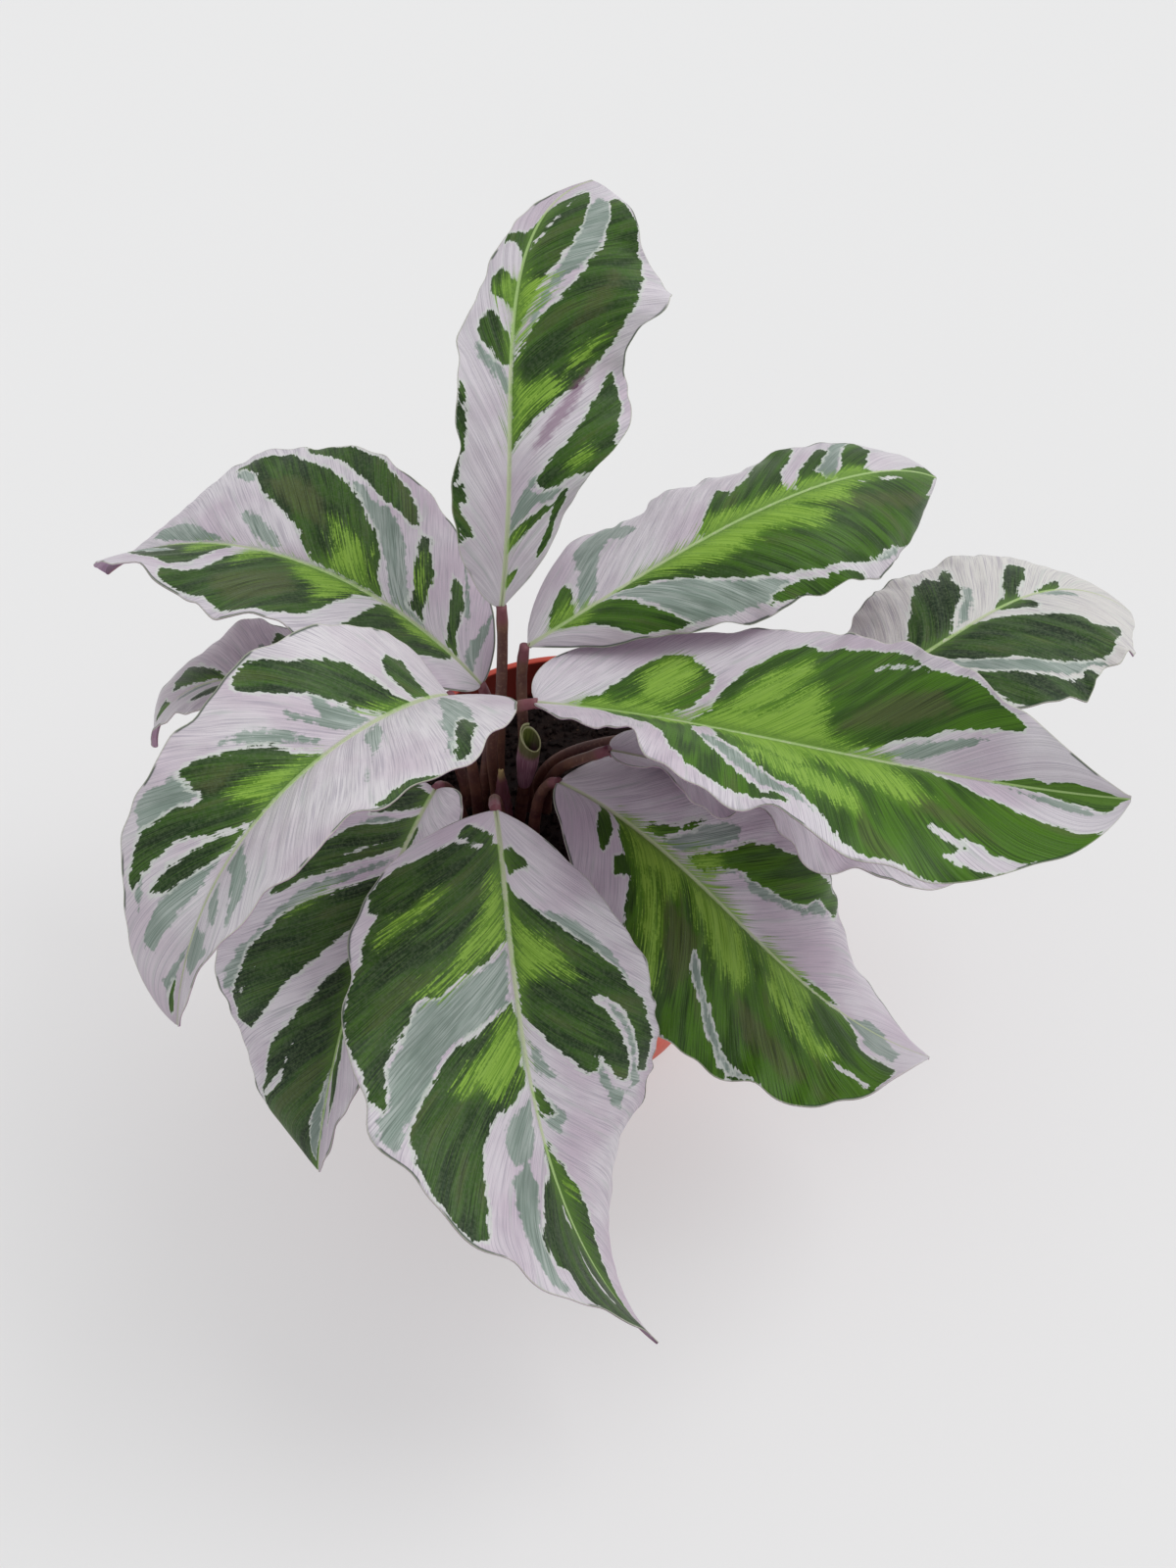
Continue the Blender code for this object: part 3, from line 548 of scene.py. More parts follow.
def linear(*colour):
    """A colour given in screen values of 0 to 255, as the linear values that shaders take."""
    shares = [value / 255 for value in colour]
    curved = [share / 12.92 if share <= 0.04045 else ((share + 0.055) / 1.055) ** 2.4 for share in shares]
    return (*curved, 1)


# Colours
LILAC_WHITE = linear(217, 212, 217)
LILAC_PINK = linear(197, 182, 195)
MILKY = linear(214, 213, 206)
LILAC_GREY = linear(160, 153, 166)
MINT_PALE = linear(172, 182, 176)
MINT = linear(146, 161, 152)
MINT_DEEP = linear(104, 120, 110)
GREEN_DEEP = linear(16, 38, 13)
GREEN_MIDDLE = linear(54, 86, 28)
GREEN_VIVID = linear(72, 116, 14)
GREEN_BLUE = linear(28, 58, 34)
GREEN_GREY = linear(88, 104, 74)
GREEN_SHADE = linear(16, 32, 12)
OLIVE = linear(84, 90, 52)
LIME = linear(148, 186, 74)
LIME_DEEP = linear(100, 142, 40)
PURPLE_BLUSH = linear(122, 78, 112)
GREEN_LIGHT = linear(92, 128, 52)
RIB_PALE = linear(190, 202, 160)
RIB_GREEN = linear(172, 202, 130)
MARK_RIM = linear(206, 212, 204)
MARGIN_PALE = linear(196, 200, 180)
UNDER_PURPLE = linear(142, 104, 140)
UNDER_PINK = linear(172, 136, 168)
UNDER_DARK = linear(96, 58, 88)
UNDER_RIB = linear(150, 92, 104)
STALK_MAROON = linear(86, 54, 50)
STALK_BROWN = linear(112, 78, 62)
STALK_PALE = linear(146, 116, 96)
STALK_MAGENTA = linear(124, 62, 84)
ROLL_OLIVE = linear(96, 110, 48)
ROLL_LIGHT = linear(128, 142, 70)
ROLL_PURPLE = linear(138, 92, 112)
ROLL_PINK = linear(176, 140, 152)
ROLL_RIM = linear(176, 180, 132)
SHEATH_BROWN = linear(104, 62, 56)
SHEATH_PURPLE = linear(126, 82, 96)
SHEATH_STRAW = linear(186, 168, 112)
POT_RED = linear(196, 62, 42)
POT_ORANGE = linear(212, 80, 54)
POT_DUST = linear(170, 110, 84)
# Painted shade with soil stain, for the pot's inside
POT_INSIDE_SHADE_AND_SOIL = linear(92, 32, 25)
SOIL_BLACK = linear(30, 24, 22)
SOIL_BROWN = linear(48, 37, 32)
SOIL_FIBRE = linear(104, 80, 60)
FLOOR_PALE = linear(172, 172, 172)
FLOOR_GREY = linear(170, 170, 170)
FLOOR_GLOW = linear(233, 233, 233)
FLOOR_GLOW_STRENGTH = 0.5


def add_object(name, data):
    obj = bpy.data.objects.new(name, data)
    bpy.context.scene.collection.objects.link(obj)
    return obj


def mesh_object(name, points, faces, material):
    mesh = bpy.data.meshes.new(name)
    mesh.from_pydata(np.asarray(points).tolist(), [], [list(map(int, face)) for face in faces])
    mesh.shade_smooth()
    mesh.materials.append(material)
    return add_object(name, mesh)


def form_object(name, form):
    """An object from a form that is still being edited, which ends there."""
    mesh = bpy.data.meshes.new(name)
    form.to_mesh(mesh)
    form.free()
    return add_object(name, mesh)


def weld(obj):
    """Joins the points that lie together and turns the faces outwards."""
    form = bmesh.new()
    form.from_mesh(obj.data)
    bmesh.ops.remove_doubles(form, verts=form.verts, dist=WELD_DISTANCE)
    bmesh.ops.recalc_face_normals(form, faces=form.faces)
    form.to_mesh(obj.data)
    form.free()


def set_values(obj, **values):
    """Keeps a number at every point of a mesh, for its material to read."""
    for name, numbers in values.items():
        layer = obj.data.attributes.new(name, "FLOAT", "POINT")
        layer.data.foreach_set("value", np.asarray(numbers, dtype=np.float32))


def grid_faces(rows, columns):
    """Four-sided faces over a grid of points that is numbered row by row."""
    index = np.arange(rows * columns).reshape(rows, columns)
    corners = (index[:-1, :-1], index[:-1, 1:], index[1:, 1:], index[1:, :-1])
    return np.stack([corner.ravel() for corner in corners], -1)


# The blade's form, by the formula of its plain solid
def along(values, share):
    """The quadratic through values at the base, the middle and the tip."""
    base, middle, tip = values
    return (
        base * (1 - share) * (1 - 2 * share)
        + 4 * middle * share * (1 - share)
        + tip * share * (2 * share - 1)
    )


def rib_frames(leaf):
    """Points along the rib from the base, with its direction, its right side and its normal."""
    share = np.linspace(0, 1, RIB_STEPS + 1)
    pitch = np.radians(along(leaf["pitch"], share))
    heading = np.radians(along((0, *leaf["turn"]), share))
    roll = np.radians(along(leaf["roll"], share))
    flat = np.cos(pitch)
    tangent = np.stack([flat * np.cos(heading), flat * np.sin(heading), np.sin(pitch)], -1)
    steps = (tangent[1:] + tangent[:-1]) / 2 * leaf["length"] * MM / RIB_STEPS
    points = np.vstack([np.zeros(3), np.cumsum(steps, 0)])
    level = np.stack([np.sin(heading), -np.cos(heading), 0 * heading], -1)
    upright = np.cross(level, tangent)
    turn_cos = np.cos(roll)[:, None]
    turn_sin = np.sin(roll)[:, None]
    right = turn_cos * level + turn_sin * upright
    normal = turn_cos * upright - turn_sin * level
    return share, points, tangent, right, normal


def half_width(leaf, across, share):
    """Half-width of a point's side of the blade: a rounded base that tapers to a drawn-out tip."""
    widths = []
    for belly, taper, widest_half in zip(leaf["belly"], leaf["taper"], leaf["half_width"]):
        widest = belly / (belly + taper)
        shape = share**belly * (1 - share) ** taper / (widest**belly * (1 - widest) ** taper)
        widths.append(np.hypot(widest_half * MM * shape, END_HALF_WIDTH))
    return np.where(across > 0, widths[1], widths[0])


def blade_points(leaf, across, share):
    """Upper face of a blade at places across it, -1 left to 1 right, and shares along its rib."""
    stations, *frames = rib_frames(leaf)
    axes = [np.stack([np.interp(share, stations, part) for part in axis.T], -1) for axis in frames]
    points, tangent, right, normal = axes
    side = (across > 0).astype(int)
    out = np.abs(across)
    cup, arch, phase = (np.take(np.radians(leaf[key]), side) for key in ("cup", "arch", "ripple_phase"))
    width = half_width(leaf, across, share)
    bend = cup - arch * out
    sideways = width * (np.sin(cup) - np.sin(bend)) / arch
    lift = width * (np.cos(bend) - np.cos(cup)) / arch
    swing = math.tau * RIPPLE_COUNT * share + phase
    reach = np.take(leaf["ripple"], side) * width * out**2 * np.sqrt(np.sin(np.pi * share))
    sideways = sideways + reach * np.sin(swing) * np.cos(bend)
    lift = lift + reach * np.cos(swing)
    back = np.take(leaf["lobe"], side) * width * out**LOBE_CURVE * (1 - share) ** LOBE_FADE
    sideways = np.where(side == 1, sideways, -sideways)
    return points + right * sideways[:, None] + normal * lift[:, None] - tangent * back[:, None]


# Markings
def inside_distance(points, corners):
    """How far each point lies inside an outline, negative where it is outside."""
    following = np.roll(corners, -1, 0)
    step = following - corners
    offset = points[:, None] - corners
    share = np.clip((offset * step).sum(-1) / (step**2).sum(-1), 0, 1)
    away = offset - share[..., None] * step
    distance = np.sqrt((away**2).sum(-1)).min(1)
    x, y = points[:, :1], points[:, 1:]
    spans = (corners[:, 1] > y) != (following[:, 1] > y)
    rise = np.where(step[:, 1] == 0, 1, step[:, 1])
    crossing = corners[:, 0] + (y - corners[:, 1]) * step[:, 0] / rise
    inside = (spans & (x < crossing)).sum(1) % 2 == 1
    return np.where(inside, distance, -distance)


def on_blade(leaf, across, share):
    """Millimetres across and along a blade laid flat, the left half negative."""
    left, right = leaf["half_width"]
    return np.stack([across * np.where(across > 0, right, left), share * leaf["length"]], -1)


def read_marks(text):
    """Each colour with the corners of its outline, as shares across and along the blade."""
    marks = []
    for word in text.split():
        if word.isalpha():
            marks.append((word, []))
        else:
            marks[-1][1].append([float(part) / 100 for part in word.split(",")])
    return marks


def marking_fields(leaf, text, across, share):
    """Distance inside each colour of the markings, in millimetres."""
    points = on_blade(leaf, across, share)
    fields = {name: np.full(len(points), -MARK_REACH) for name in MARK_NAMES}
    for colour, corners in read_marks(text):
        outline = on_blade(leaf, *np.transpose(corners))
        distance = np.clip(inside_distance(points, outline), -MARK_REACH, MARK_REACH)
        if colour in MARK_GROUNDS:
            for other in MARK_GROUNDS:
                fields[other] = np.minimum(fields[other], -distance)
        fields[colour] = np.maximum(fields[colour], distance)
    return fields


# Blades
def row_shares(count):
    """Shares along the rib, closer together at the base and the tip."""
    even = np.linspace(0, 1, count + 1)
    return np.clip(0.5 * even + 0.25 * (1 - np.cos(np.pi * even)), 0, 1)


def unit(vectors):
    """The same directions with a length of one."""
    return vectors / np.linalg.norm(vectors, axis=-1, keepdims=True)


def vein_place(leaf, across, share):
    """Where on the rib the side vein through a point leaves it, in millimetres."""
    return (share - VEIN_SWEEP * np.abs(across) ** VEIN_CURVE) * leaf["length"]


def vein_relief(leaf, across, share):
    """Height of the soft folds between the side veins, and the groove over the rib."""
    out = np.abs(across)
    folds = np.cos(math.tau * vein_place(leaf, across, share) / VEIN_SPACING) * VEIN_HEIGHT
    fade = np.clip(out * RIB_FADE, 0, 1) * np.clip((1 - out) * MARGIN_FADE, 0, 1) * np.sin(np.pi * share)
    rib_distance = out * np.mean(leaf["half_width"])
    groove = RIB_GROOVE * np.exp(-((rib_distance / RIB_GROOVE_WIDTH) ** 2)) * (1 - share)
    return (folds * fade - groove) * MM


def margin_waves(leaf, number, across, share):
    """Small uneven waves near the margins, different on each half of each blade."""
    phase = number * WAVE_LEAF_PHASE + np.where(across > 0, WAVE_HALF_PHASE, 0.0)
    waves = sum(
        np.sin(math.tau * count * share + phase * order) / order
        for order, count in enumerate(WAVE_COUNTS, 1)
    )
    height = WAVE_SHARE * np.mean(leaf["half_width"]) * MM
    return waves * np.abs(across) ** WAVE_CURVE * np.sin(np.pi * share) * height


def blade_faces(rows, columns):
    """Faces of the upper side, the lower side and the rim between them, in this order."""
    upper = grid_faces(rows, columns)
    count = rows * columns
    index = np.arange(count).reshape(rows, columns)
    loop = np.concatenate([index[0, :-1], index[:-1, -1], index[-1, :0:-1], index[:0:-1, 0]])
    following = np.roll(loop, -1)
    rim = np.stack([loop, loop + count, following + count, following], -1)
    return np.vstack([upper, upper[:, ::-1] + count, rim])


def blade_surfaces(leaf, number, across, share, rows, columns):
    """Points of the upper and of the lower side, with veins, waves and a ridge under the rib."""
    upper = blade_points(leaf, across, share)
    grid = upper.reshape(rows, columns, 3)
    row_step = np.gradient(grid, axis=0)
    column_step = np.gradient(grid, axis=1)
    normals = unit(np.cross(column_step, row_step)).reshape(-1, 3)
    sideways = unit(column_step).reshape(-1, 3) * np.sign(across)[:, None]
    waves = margin_waves(leaf, number, across, share)
    swing = margin_waves(leaf, number + SWING_NUMBER, across, share)
    upper = upper + normals * (vein_relief(leaf, across, share) + waves)[:, None]
    upper = upper + sideways * (swing - waves / 2)[:, None]
    out = np.abs(across)
    rib_distance = out * np.mean(leaf["half_width"])
    ridge = RIB_RIDGE * np.exp(-((rib_distance / RIB_RIDGE_WIDTH) ** 2)) * (1 - share) ** RIDGE_FADE
    depth = BLADE_THICKNESS * (1 - MARGIN_THINNING * out**4) + ridge * MM
    return upper, upper - normals * depth[:, None]


def set_blade_values(blade, leaf, number, across, share, marks, tones):
    """The numbers that the material reads, in millimetres or shares, alike on both sides but for under."""
    count = len(share)
    out = np.abs(across)
    width = half_width(leaf, across, share) / MM
    values = dict(
        vein=vein_place(leaf, across, share) + LEAF_OFFSET * (2 * number + (across > 0)),
        out=out * width,
        along=share,
        edge=(1 - out) * width,
        vivid=np.full(count, tones[0]),
        milky=np.full(count, tones[1]),
        **marking_fields(leaf, marks, across, share),
    )
    set_values(blade, **{name: np.tile(numbers, 2) for name, numbers in values.items()})
    set_values(blade, under=np.repeat([0, 1], count))


def set_blade_uv(mesh, across, share, rim_start):
    """Lays the upper face out on the left of the map, the lower on the right and the rim round the upper.

    rim_start is the first of the corners that belong to faces of the rim.
    """
    u = UV_MARGIN + (across + 1) / 2 * (0.5 - 2 * UV_MARGIN)
    v = UV_MARGIN + share * (1 - 2 * UV_MARGIN)
    top = np.stack([u, v], -1)
    bottom = top + (0.5, 0)
    outward = np.stack([np.where(np.abs(across) > 0.999, np.sign(across), 0), 2 * (share > 0.5) - 1], -1)
    rim = top + outward * UV_MARGIN / 2
    places = np.vstack([top, bottom, rim])
    vertex = np.empty(len(mesh.loops), dtype=np.int64)
    mesh.loops.foreach_get("vertex_index", vertex)
    on_rim = np.arange(len(vertex)) >= rim_start
    count = len(share)
    vertex = np.where(on_rim & (vertex >= count), vertex + count, vertex)
    layer = mesh.uv_layers.new(name="OFBake")
    layer.uv.foreach_set("vector", places[vertex].ravel().astype(np.float32))


def add_blade(name, leaf, number, material, cuts=BLADE_CUTS, marks="", tones=(0, 0)):
    """One blade with both faces and its rim. cuts counts the steps along and across it."""
    rows, columns = (count + 1 for count in cuts)
    share, across = np.meshgrid(row_shares(cuts[0]), np.linspace(-1, 1, columns), indexing="ij")
    share, across = share.ravel(), across.ravel()
    surfaces = blade_surfaces(leaf, number, across, share, rows, columns)
    blade = mesh_object(name, np.vstack(surfaces), blade_faces(rows, columns), material)
    blade.location = Vector(leaf["base"]) * MM
    blade.rotation_euler.z = math.radians(leaf["heading"])
    set_blade_uv(blade.data, across, share, 2 * 4 * cuts[0] * cuts[1])
    set_blade_values(blade, leaf, number, across, share, marks, tones)
    return blade


# Stalks
def direction(heading, pitch):
    """A direction from its angles in radians."""
    level = math.cos(pitch)
    return Vector((level * math.cos(heading), level * math.sin(heading), math.sin(pitch)))


def stalk_path(leaf):
    """Corners of the stalk's curves under and over the soil line, and its direction at the blade."""
    angle, radius = leaf["foot"]
    swing = math.radians(angle)
    soil_line = CROWN + Vector((math.cos(swing), math.sin(swing), 0)) * radius * MM
    soil_line.z = SOIL_TOP
    foot = soil_line - Vector((0, 0, ROOT_DEPTH))
    handle = Vector((0, 0, ROOT_HANDLE))
    heading = math.radians(leaf["heading"])
    pitch = math.radians(leaf["pitch"][0])
    rib = direction(heading, pitch)
    upright = direction(heading, pitch + math.pi / 2)
    aside, tilt = (math.radians(value) for value in leaf["arrive"])
    arrival = direction(heading + aside, pitch + tilt)
    seat = GAP + STALK_FOOT_RADIUS * STALK_NECK * math.sin(max(tilt, abs(aside)))
    end = Vector(leaf["base"]) * MM - rib * seat - upright * BLADE_THICKNESS / 2
    distance = (end - soil_line).length
    rise = Vector((0, 0, STALK_RISE * distance))
    root = (foot, foot + handle, soil_line - handle, soil_line)
    return root, (soil_line, soil_line + rise, end - arrival * STALK_REACH * distance, end), arrival


def curve_points(corners, count):
    """Points along the curve from the first corner to the last, which the two between them steer."""
    share = np.linspace(0, 1, count)[:, None]
    rest = 1 - share
    weights = (rest**3, 3 * rest**2 * share, 3 * rest * share**2, share**3)
    return sum(weight * np.array(corner) for weight, corner in zip(weights, corners))


def sweep(points, radii, sides):
    """Grid of points round a path, without twist, one row for each point of the path."""
    tangents = unit(np.gradient(points, axis=0))
    aside = np.cross(tangents[0], SWEEP_START)
    angles = np.linspace(0, math.tau, sides + 1)
    rows = []
    for point, tangent, radius in zip(points, tangents, radii):
        aside = unit(aside - tangent * np.dot(aside, tangent))
        other = np.cross(tangent, aside)
        ring = np.cos(angles)[:, None] * aside + np.sin(angles)[:, None] * other
        rows.append(point + ring * radius)
    return np.array(rows)


def add_tube(name, points, radii, share, number, material):
    """A stalk's tube along a path, with its ends closed and its seam joined."""
    rings = sweep(points, radii, STALK_SIDES)
    rows, columns, _ = rings.shape
    faces = [tuple(face) for face in grid_faces(rows, columns)]
    faces.append(tuple(range(columns - 2, -1, -1)))
    last = (rows - 1) * columns
    faces.append(tuple(range(last, last + columns - 1)))
    tube = mesh_object(name, rings.reshape(-1, 3), faces, material)
    set_values(tube, along=np.repeat(share, columns), seed=np.full(rows * columns, number))
    weld(tube)
    return tube


def add_stalk(name, leaf, number, material):
    root, rest, arrival = stalk_path(leaf)
    last = np.array(rest[-1] + arrival * SEAT_DEPTH)
    points = np.vstack([curve_points(root, ROOT_RINGS)[:-1], curve_points(rest, STALK_RINGS), last])
    share = np.clip((np.arange(len(points)) - ROOT_RINGS + 1) / (STALK_RINGS - 1), 0, 1)
    swelling = 1 + NECK_SWELLING * np.exp(-(((share - NECK_PLACE) / NECK_SPREAD) ** 2))
    radii = STALK_FOOT_RADIUS * (1 + (STALK_NECK - 1) * share) * swelling
    return add_tube(name, points, radii, share, number, material)


# The rolled leaf
def add_new_leaf(material):
    """A stem that opens into a blade still rolled round itself, cut aslant at its mouth."""
    lean = ROLL_MOUTH - ROLL_FOOT
    turns = np.linspace(0, ROLL_TURNS * math.tau, ROLL_COLUMNS)
    levels = np.linspace(0, 1, ROLL_ROWS)
    level = levels[:, None]
    opening = np.minimum(1, level * ROLL_OPENING) ** ROLL_CURVE
    swell = ROLL_STEM_RADIUS + (ROLL_RADIUS - ROLL_STEM_RADIUS) * opening
    radius = swell * (1 - ROLL_TIGHTEN * turns / math.tau)
    slant = ROLL_SLANT * (np.cos(turns - ROLL_HIGH_SIDE) - 1) * level**3
    z = lean.length - ROLL_LENGTH + level * ROLL_LENGTH + slant - turns * ROLL_STEP * level
    points = np.stack([radius * np.cos(turns), radius * np.sin(turns), z], -1)
    roll = mesh_object("new_leaf", points.reshape(-1, 3), grid_faces(ROLL_ROWS, ROLL_COLUMNS), material)
    set_values(roll, along=np.repeat(levels, ROLL_COLUMNS), turn=np.tile(turns / math.tau, ROLL_ROWS))
    solid = roll.modifiers.new("Thickness", "SOLIDIFY")
    solid.thickness = ROLL_SHEET
    solid.offset = -1
    roll.location = ROLL_FOOT
    roll.rotation_mode = "QUATERNION"
    roll.rotation_quaternion = lean.to_track_quat("Z", "Y")
    return roll


def add_new_stem(material):
    lean = ROLL_MOUTH - ROLL_FOOT
    top = ROLL_FOOT + lean * (1 - (ROLL_LENGTH - NEW_STEM_OVERLAP) / lean.length)
    points = np.linspace(np.array(ROLL_FOOT), np.array(top), NEW_STEM_RINGS)
    radii = np.full(NEW_STEM_RINGS, ROLL_STEM_RADIUS * NEW_STEM_FIT)
    share = np.linspace(0, 1, NEW_STEM_RINGS)
    return add_tube("new_stem", points, radii, share, NEW_STEM_NUMBER, material)


# Pot and soil
def inner_radius(height):
    """Radius of the pot's inside at a height below the rim band."""
    share = height / (POT_HEIGHT - RIM_BAND)
    return POT_FOOT_RADIUS + (POT_SHOULDER_RADIUS - POT_FOOT_RADIUS) * share - POT_WALL


def pot_profile():
    """Section of the pot, as radius and height, from its floor up the inside and down the outside."""
    shoulder = POT_HEIGHT - RIM_BAND
    inside = [(inner_radius(height * MM), height * MM) for height in WALL_HEIGHTS_INSIDE]
    rim = [(RIM_RADIUS + radius * MM, POT_HEIGHT + height * MM) for radius, height in RIM_SECTION]
    outside = [(inner_radius(height * MM) + POT_WALL, height * MM) for height in WALL_HEIGHTS_OUTSIDE]
    foot = [(POT_FOOT_RADIUS + radius * MM, height * MM) for radius, height in FOOT_SECTION]
    inside = [(AXIS_RADIUS, POT_FLOOR), *inside, (inner_radius(shoulder), shoulder)]
    return [*inside, *rim, *outside, *foot, (AXIS_RADIUS, 0)]


def turned(name, profile, material):
    """Turns a profile round the upright axis."""
    angles = np.linspace(0, math.tau, POT_STEPS + 1)
    rows = [
        np.stack([radius * np.cos(angles), radius * np.sin(angles), 0 * angles + height], -1)
        for radius, height in profile
    ]
    grid = np.array(rows)
    obj = mesh_object(name, grid.reshape(-1, 3), grid_faces(*grid.shape[:2]), material)
    weld(obj)
    return obj


def cut_drains(pot):
    """Cuts the round drain holes through the pot's floor."""
    form = bmesh.new()
    for index in range(DRAIN_COUNT):
        angle = math.tau * index / DRAIN_COUNT
        made = bmesh.ops.create_cone(
            form,
            cap_ends=True,
            segments=DRAIN_SIDES,
            radius1=DRAIN_RADIUS,
            radius2=DRAIN_RADIUS,
            depth=DRAIN_DEPTH,
        )
        middle = Vector((DRAIN_CIRCLE * math.cos(angle), DRAIN_CIRCLE * math.sin(angle), 0))
        bmesh.ops.translate(form, verts=made["verts"], vec=middle)
    drains = form_object("drains", form)
    boolean = pot.modifiers.new("Drains", "BOOLEAN")
    boolean.operation = "DIFFERENCE"
    boolean.solver = "EXACT"
    boolean.object = drains
    shaped = pot.evaluated_get(bpy.context.evaluated_depsgraph_get())
    mesh = bpy.data.meshes.new_from_object(shaped)
    pot.modifiers.clear()
    pot.data = mesh
    bpy.data.objects.remove(drains, do_unlink=True)


def add_pot(material):
    """The pot, with its inside marked, which is darkened as painted shade with soil stain."""
    pot = turned("pot_body", pot_profile(), material)
    cut_drains(pot)
    places = np.array([vertex.co[:] for vertex in pot.data.vertices])
    radius = np.hypot(places[:, 0], places[:, 1])
    height = places[:, 2]
    wall = np.where(height > POT_HEIGHT - RIM_BAND, RIM_RADIUS - RIM_BEAD, inner_radius(height) + POT_WALL)
    inside = (height > POT_FLOOR / 2) & (radius < wall - POT_WALL / 2) & (height < POT_HEIGHT - LIP_UNDARKENED)
    # The inside's points get the darkening: painted shade in the hollow, with soil stain
    set_values(pot, inside=INSIDE_SHADE_AND_SOIL * inside)
    return pot


def add_crumbs(material):
    """Loose crumbs of soil over the flat top of the soil, clear of the stalks."""
    random = np.random.default_rng(CRUMB_SEED)
    feet = [np.array(stalk_path(leaf)[1][0])[:2] for leaf in LEAVES.values()]
    reach = inner_radius(POT_HEIGHT - RIM_BAND) - CRUMB_INSET
    form = bmesh.new()
    for _ in range(CRUMB_COUNT):
        angle = random.uniform(0, math.tau)
        place = np.array([math.cos(angle), math.sin(angle)]) * reach * math.sqrt(random.uniform())
        size = CRUMB_SIZE * random.uniform(*CRUMB_SHARES) ** 2
        if min(np.linalg.norm(place - foot) for foot in feet) < STALK_FOOT_RADIUS + size:
            continue
        made = bmesh.ops.create_icosphere(form, subdivisions=1, radius=size)
        stretch = random.uniform(*CRUMB_STRETCH, 3)
        middle = Vector((*place, SOIL_TOP + size * CRUMB_LIFT))
        for vertex in made["verts"]:
            rough = 1 + CRUMB_ROUGHNESS * random.standard_normal()
            vertex.co = middle + Vector(np.array(vertex.co) * stretch * rough)
    crumbs = form_object("crumbs", form)
    crumbs.data.materials.append(material)
    return crumbs


# Materials
class Shading:
    """A material's nodes. Most calls add one and give back its output."""

    def __init__(self, name):
        self.material = bpy.data.materials.new(name)
        self.material.use_nodes = True
        self.tree = self.material.node_tree
        self.shader = self.tree.nodes["Principled BSDF"]
        self.values = {}

    def put(self, socket, value):
        if isinstance(value, bpy.types.NodeSocket):
            self.tree.links.new(value, socket)
        else:
            socket.default_value = value

    def add(self, kind, inputs=(), **settings):
        """Adds a node, with numbers or links for its inputs by name or place."""
        node = self.tree.nodes.new(f"ShaderNode{kind}")
        for name, setting in settings.items():
            setattr(node, name, setting)
        for key, value in dict(inputs).items():
            self.put(node.inputs[key], value)
        return node

    def value(self, name):
        """The number kept under a name at each point of the mesh."""
        if name not in self.values:
            self.values[name] = self.add("Attribute", attribute_name=name).outputs["Fac"]
        return self.values[name]

    def place(self):
        return self.add("TexCoord").outputs["Object"]

    def vector(self, x, y, z):
        return self.add("CombineXYZ", enumerate((x, y, z))).outputs[0]

    def maths(self, operation, *terms):
        return self.add("Math", enumerate(terms), operation=operation).outputs[0]

    def times(self, first, second):
        return self.maths("MULTIPLY", first, second)

    def times_add(self, first, second, third):
        return self.maths("MULTIPLY_ADD", first, second, third)

    def steps(self, value, low, high, start=0.0, end=1.0):
        """A smooth change from start to end as the value goes from low to high.

        Mostly a colour comes in over a range of a noise, or of a distance in millimetres.
        """
        names = ("Value", "From Min", "From Max", "To Min", "To Max")
        inputs = zip(names, (value, low, high, start, end))
        return self.add("MapRange", inputs, interpolation_type="SMOOTHSTEP").outputs[0]

    def noise(self, vector, scale, detail=2.0, roughness=0.5):
        inputs = {"Vector": vector, "Scale": scale, "Detail": detail, "Roughness": roughness}
        return self.add("TexNoise", inputs).outputs["Fac"]

    def streaks(self, width, length, shift, detail=2.0):
        """Noise drawn out along the side veins, about 0.5 on average, by sizes in millimetres."""
        across_vein = self.maths("DIVIDE", self.value("vein"), width)
        along_vein = self.maths("DIVIDE", self.value("out"), length)
        return self.noise(self.vector(across_vein, along_vein, shift), 1.0, detail)

    def shifted(self, field, *noises):
        """A field of distances shifted to and fro by pairs of a noise and its reach."""
        for noise, reach in noises:
            field = self.times_add(self.maths("SUBTRACT", noise, 0.5), reach, field)
        return field

    def mix(self, share, first, second):
        return self.add("Mix", {"Factor": share, 6: first, 7: second}, data_type="RGBA").outputs[2]

    def layers(self, ground, *layers):
        """Lays pairs of a share and a colour over a ground, in turn."""
        for share, colour in layers:
            ground = self.mix(share, ground, colour)
        return ground

    def bump(self, height, strength, distance):
        node = self.add("Bump", {"Height": height, "Strength": strength, "Distance": distance})
        self.put(self.shader.inputs["Normal"], node.outputs[0])

    def finish(self, colour, roughness, specular):
        inputs = {"Base Color": colour, "Roughness": roughness, "Specular IOR Level": specular}
        for name, value in inputs.items():
            self.put(self.shader.inputs[name], value)
        return self.material


def blade_noises(look):
    """The noises that a blade's colours share, drawn out along the side veins or even all round."""
    place = look.place()
    return SimpleNamespace(
        hair=look.streaks(0.35, 14, 21.0, 1.0),
        fine=look.streaks(0.7, 9, 3.0),
        coarse=look.streaks(3.2, 16, 9.0),
        broad=look.streaks(7.0, 26, 14.0),
        cloud=look.noise(place, 34.0, 3.0),
        patch=look.noise(place, 55.0, 2.0),
        grain=look.noise(place, 430.0, 3.0, 0.55),
        speckle=look.noise(place, 1000.0, 2.0, 0.6),
    )


def pale_part(look, noise):
    """Colour of the pale ground, from a blade's shading and its noises."""
    return look.layers(
        look.mix(look.steps(noise.cloud, 0.35, 0.7), LILAC_WHITE, LILAC_PINK),
        (look.times(look.value("milky"), 0.85), MILKY),
        (look.steps(noise.fine, 0.5, 0.75, 0.0, 0.4), LILAC_GREY),
        (look.steps(noise.hair, 0.46, 0.68, 0.0, 0.6), LILAC_GREY),
        (look.steps(noise.coarse, 0.55, 0.75, 0.0, 0.45), MINT_PALE),
    )


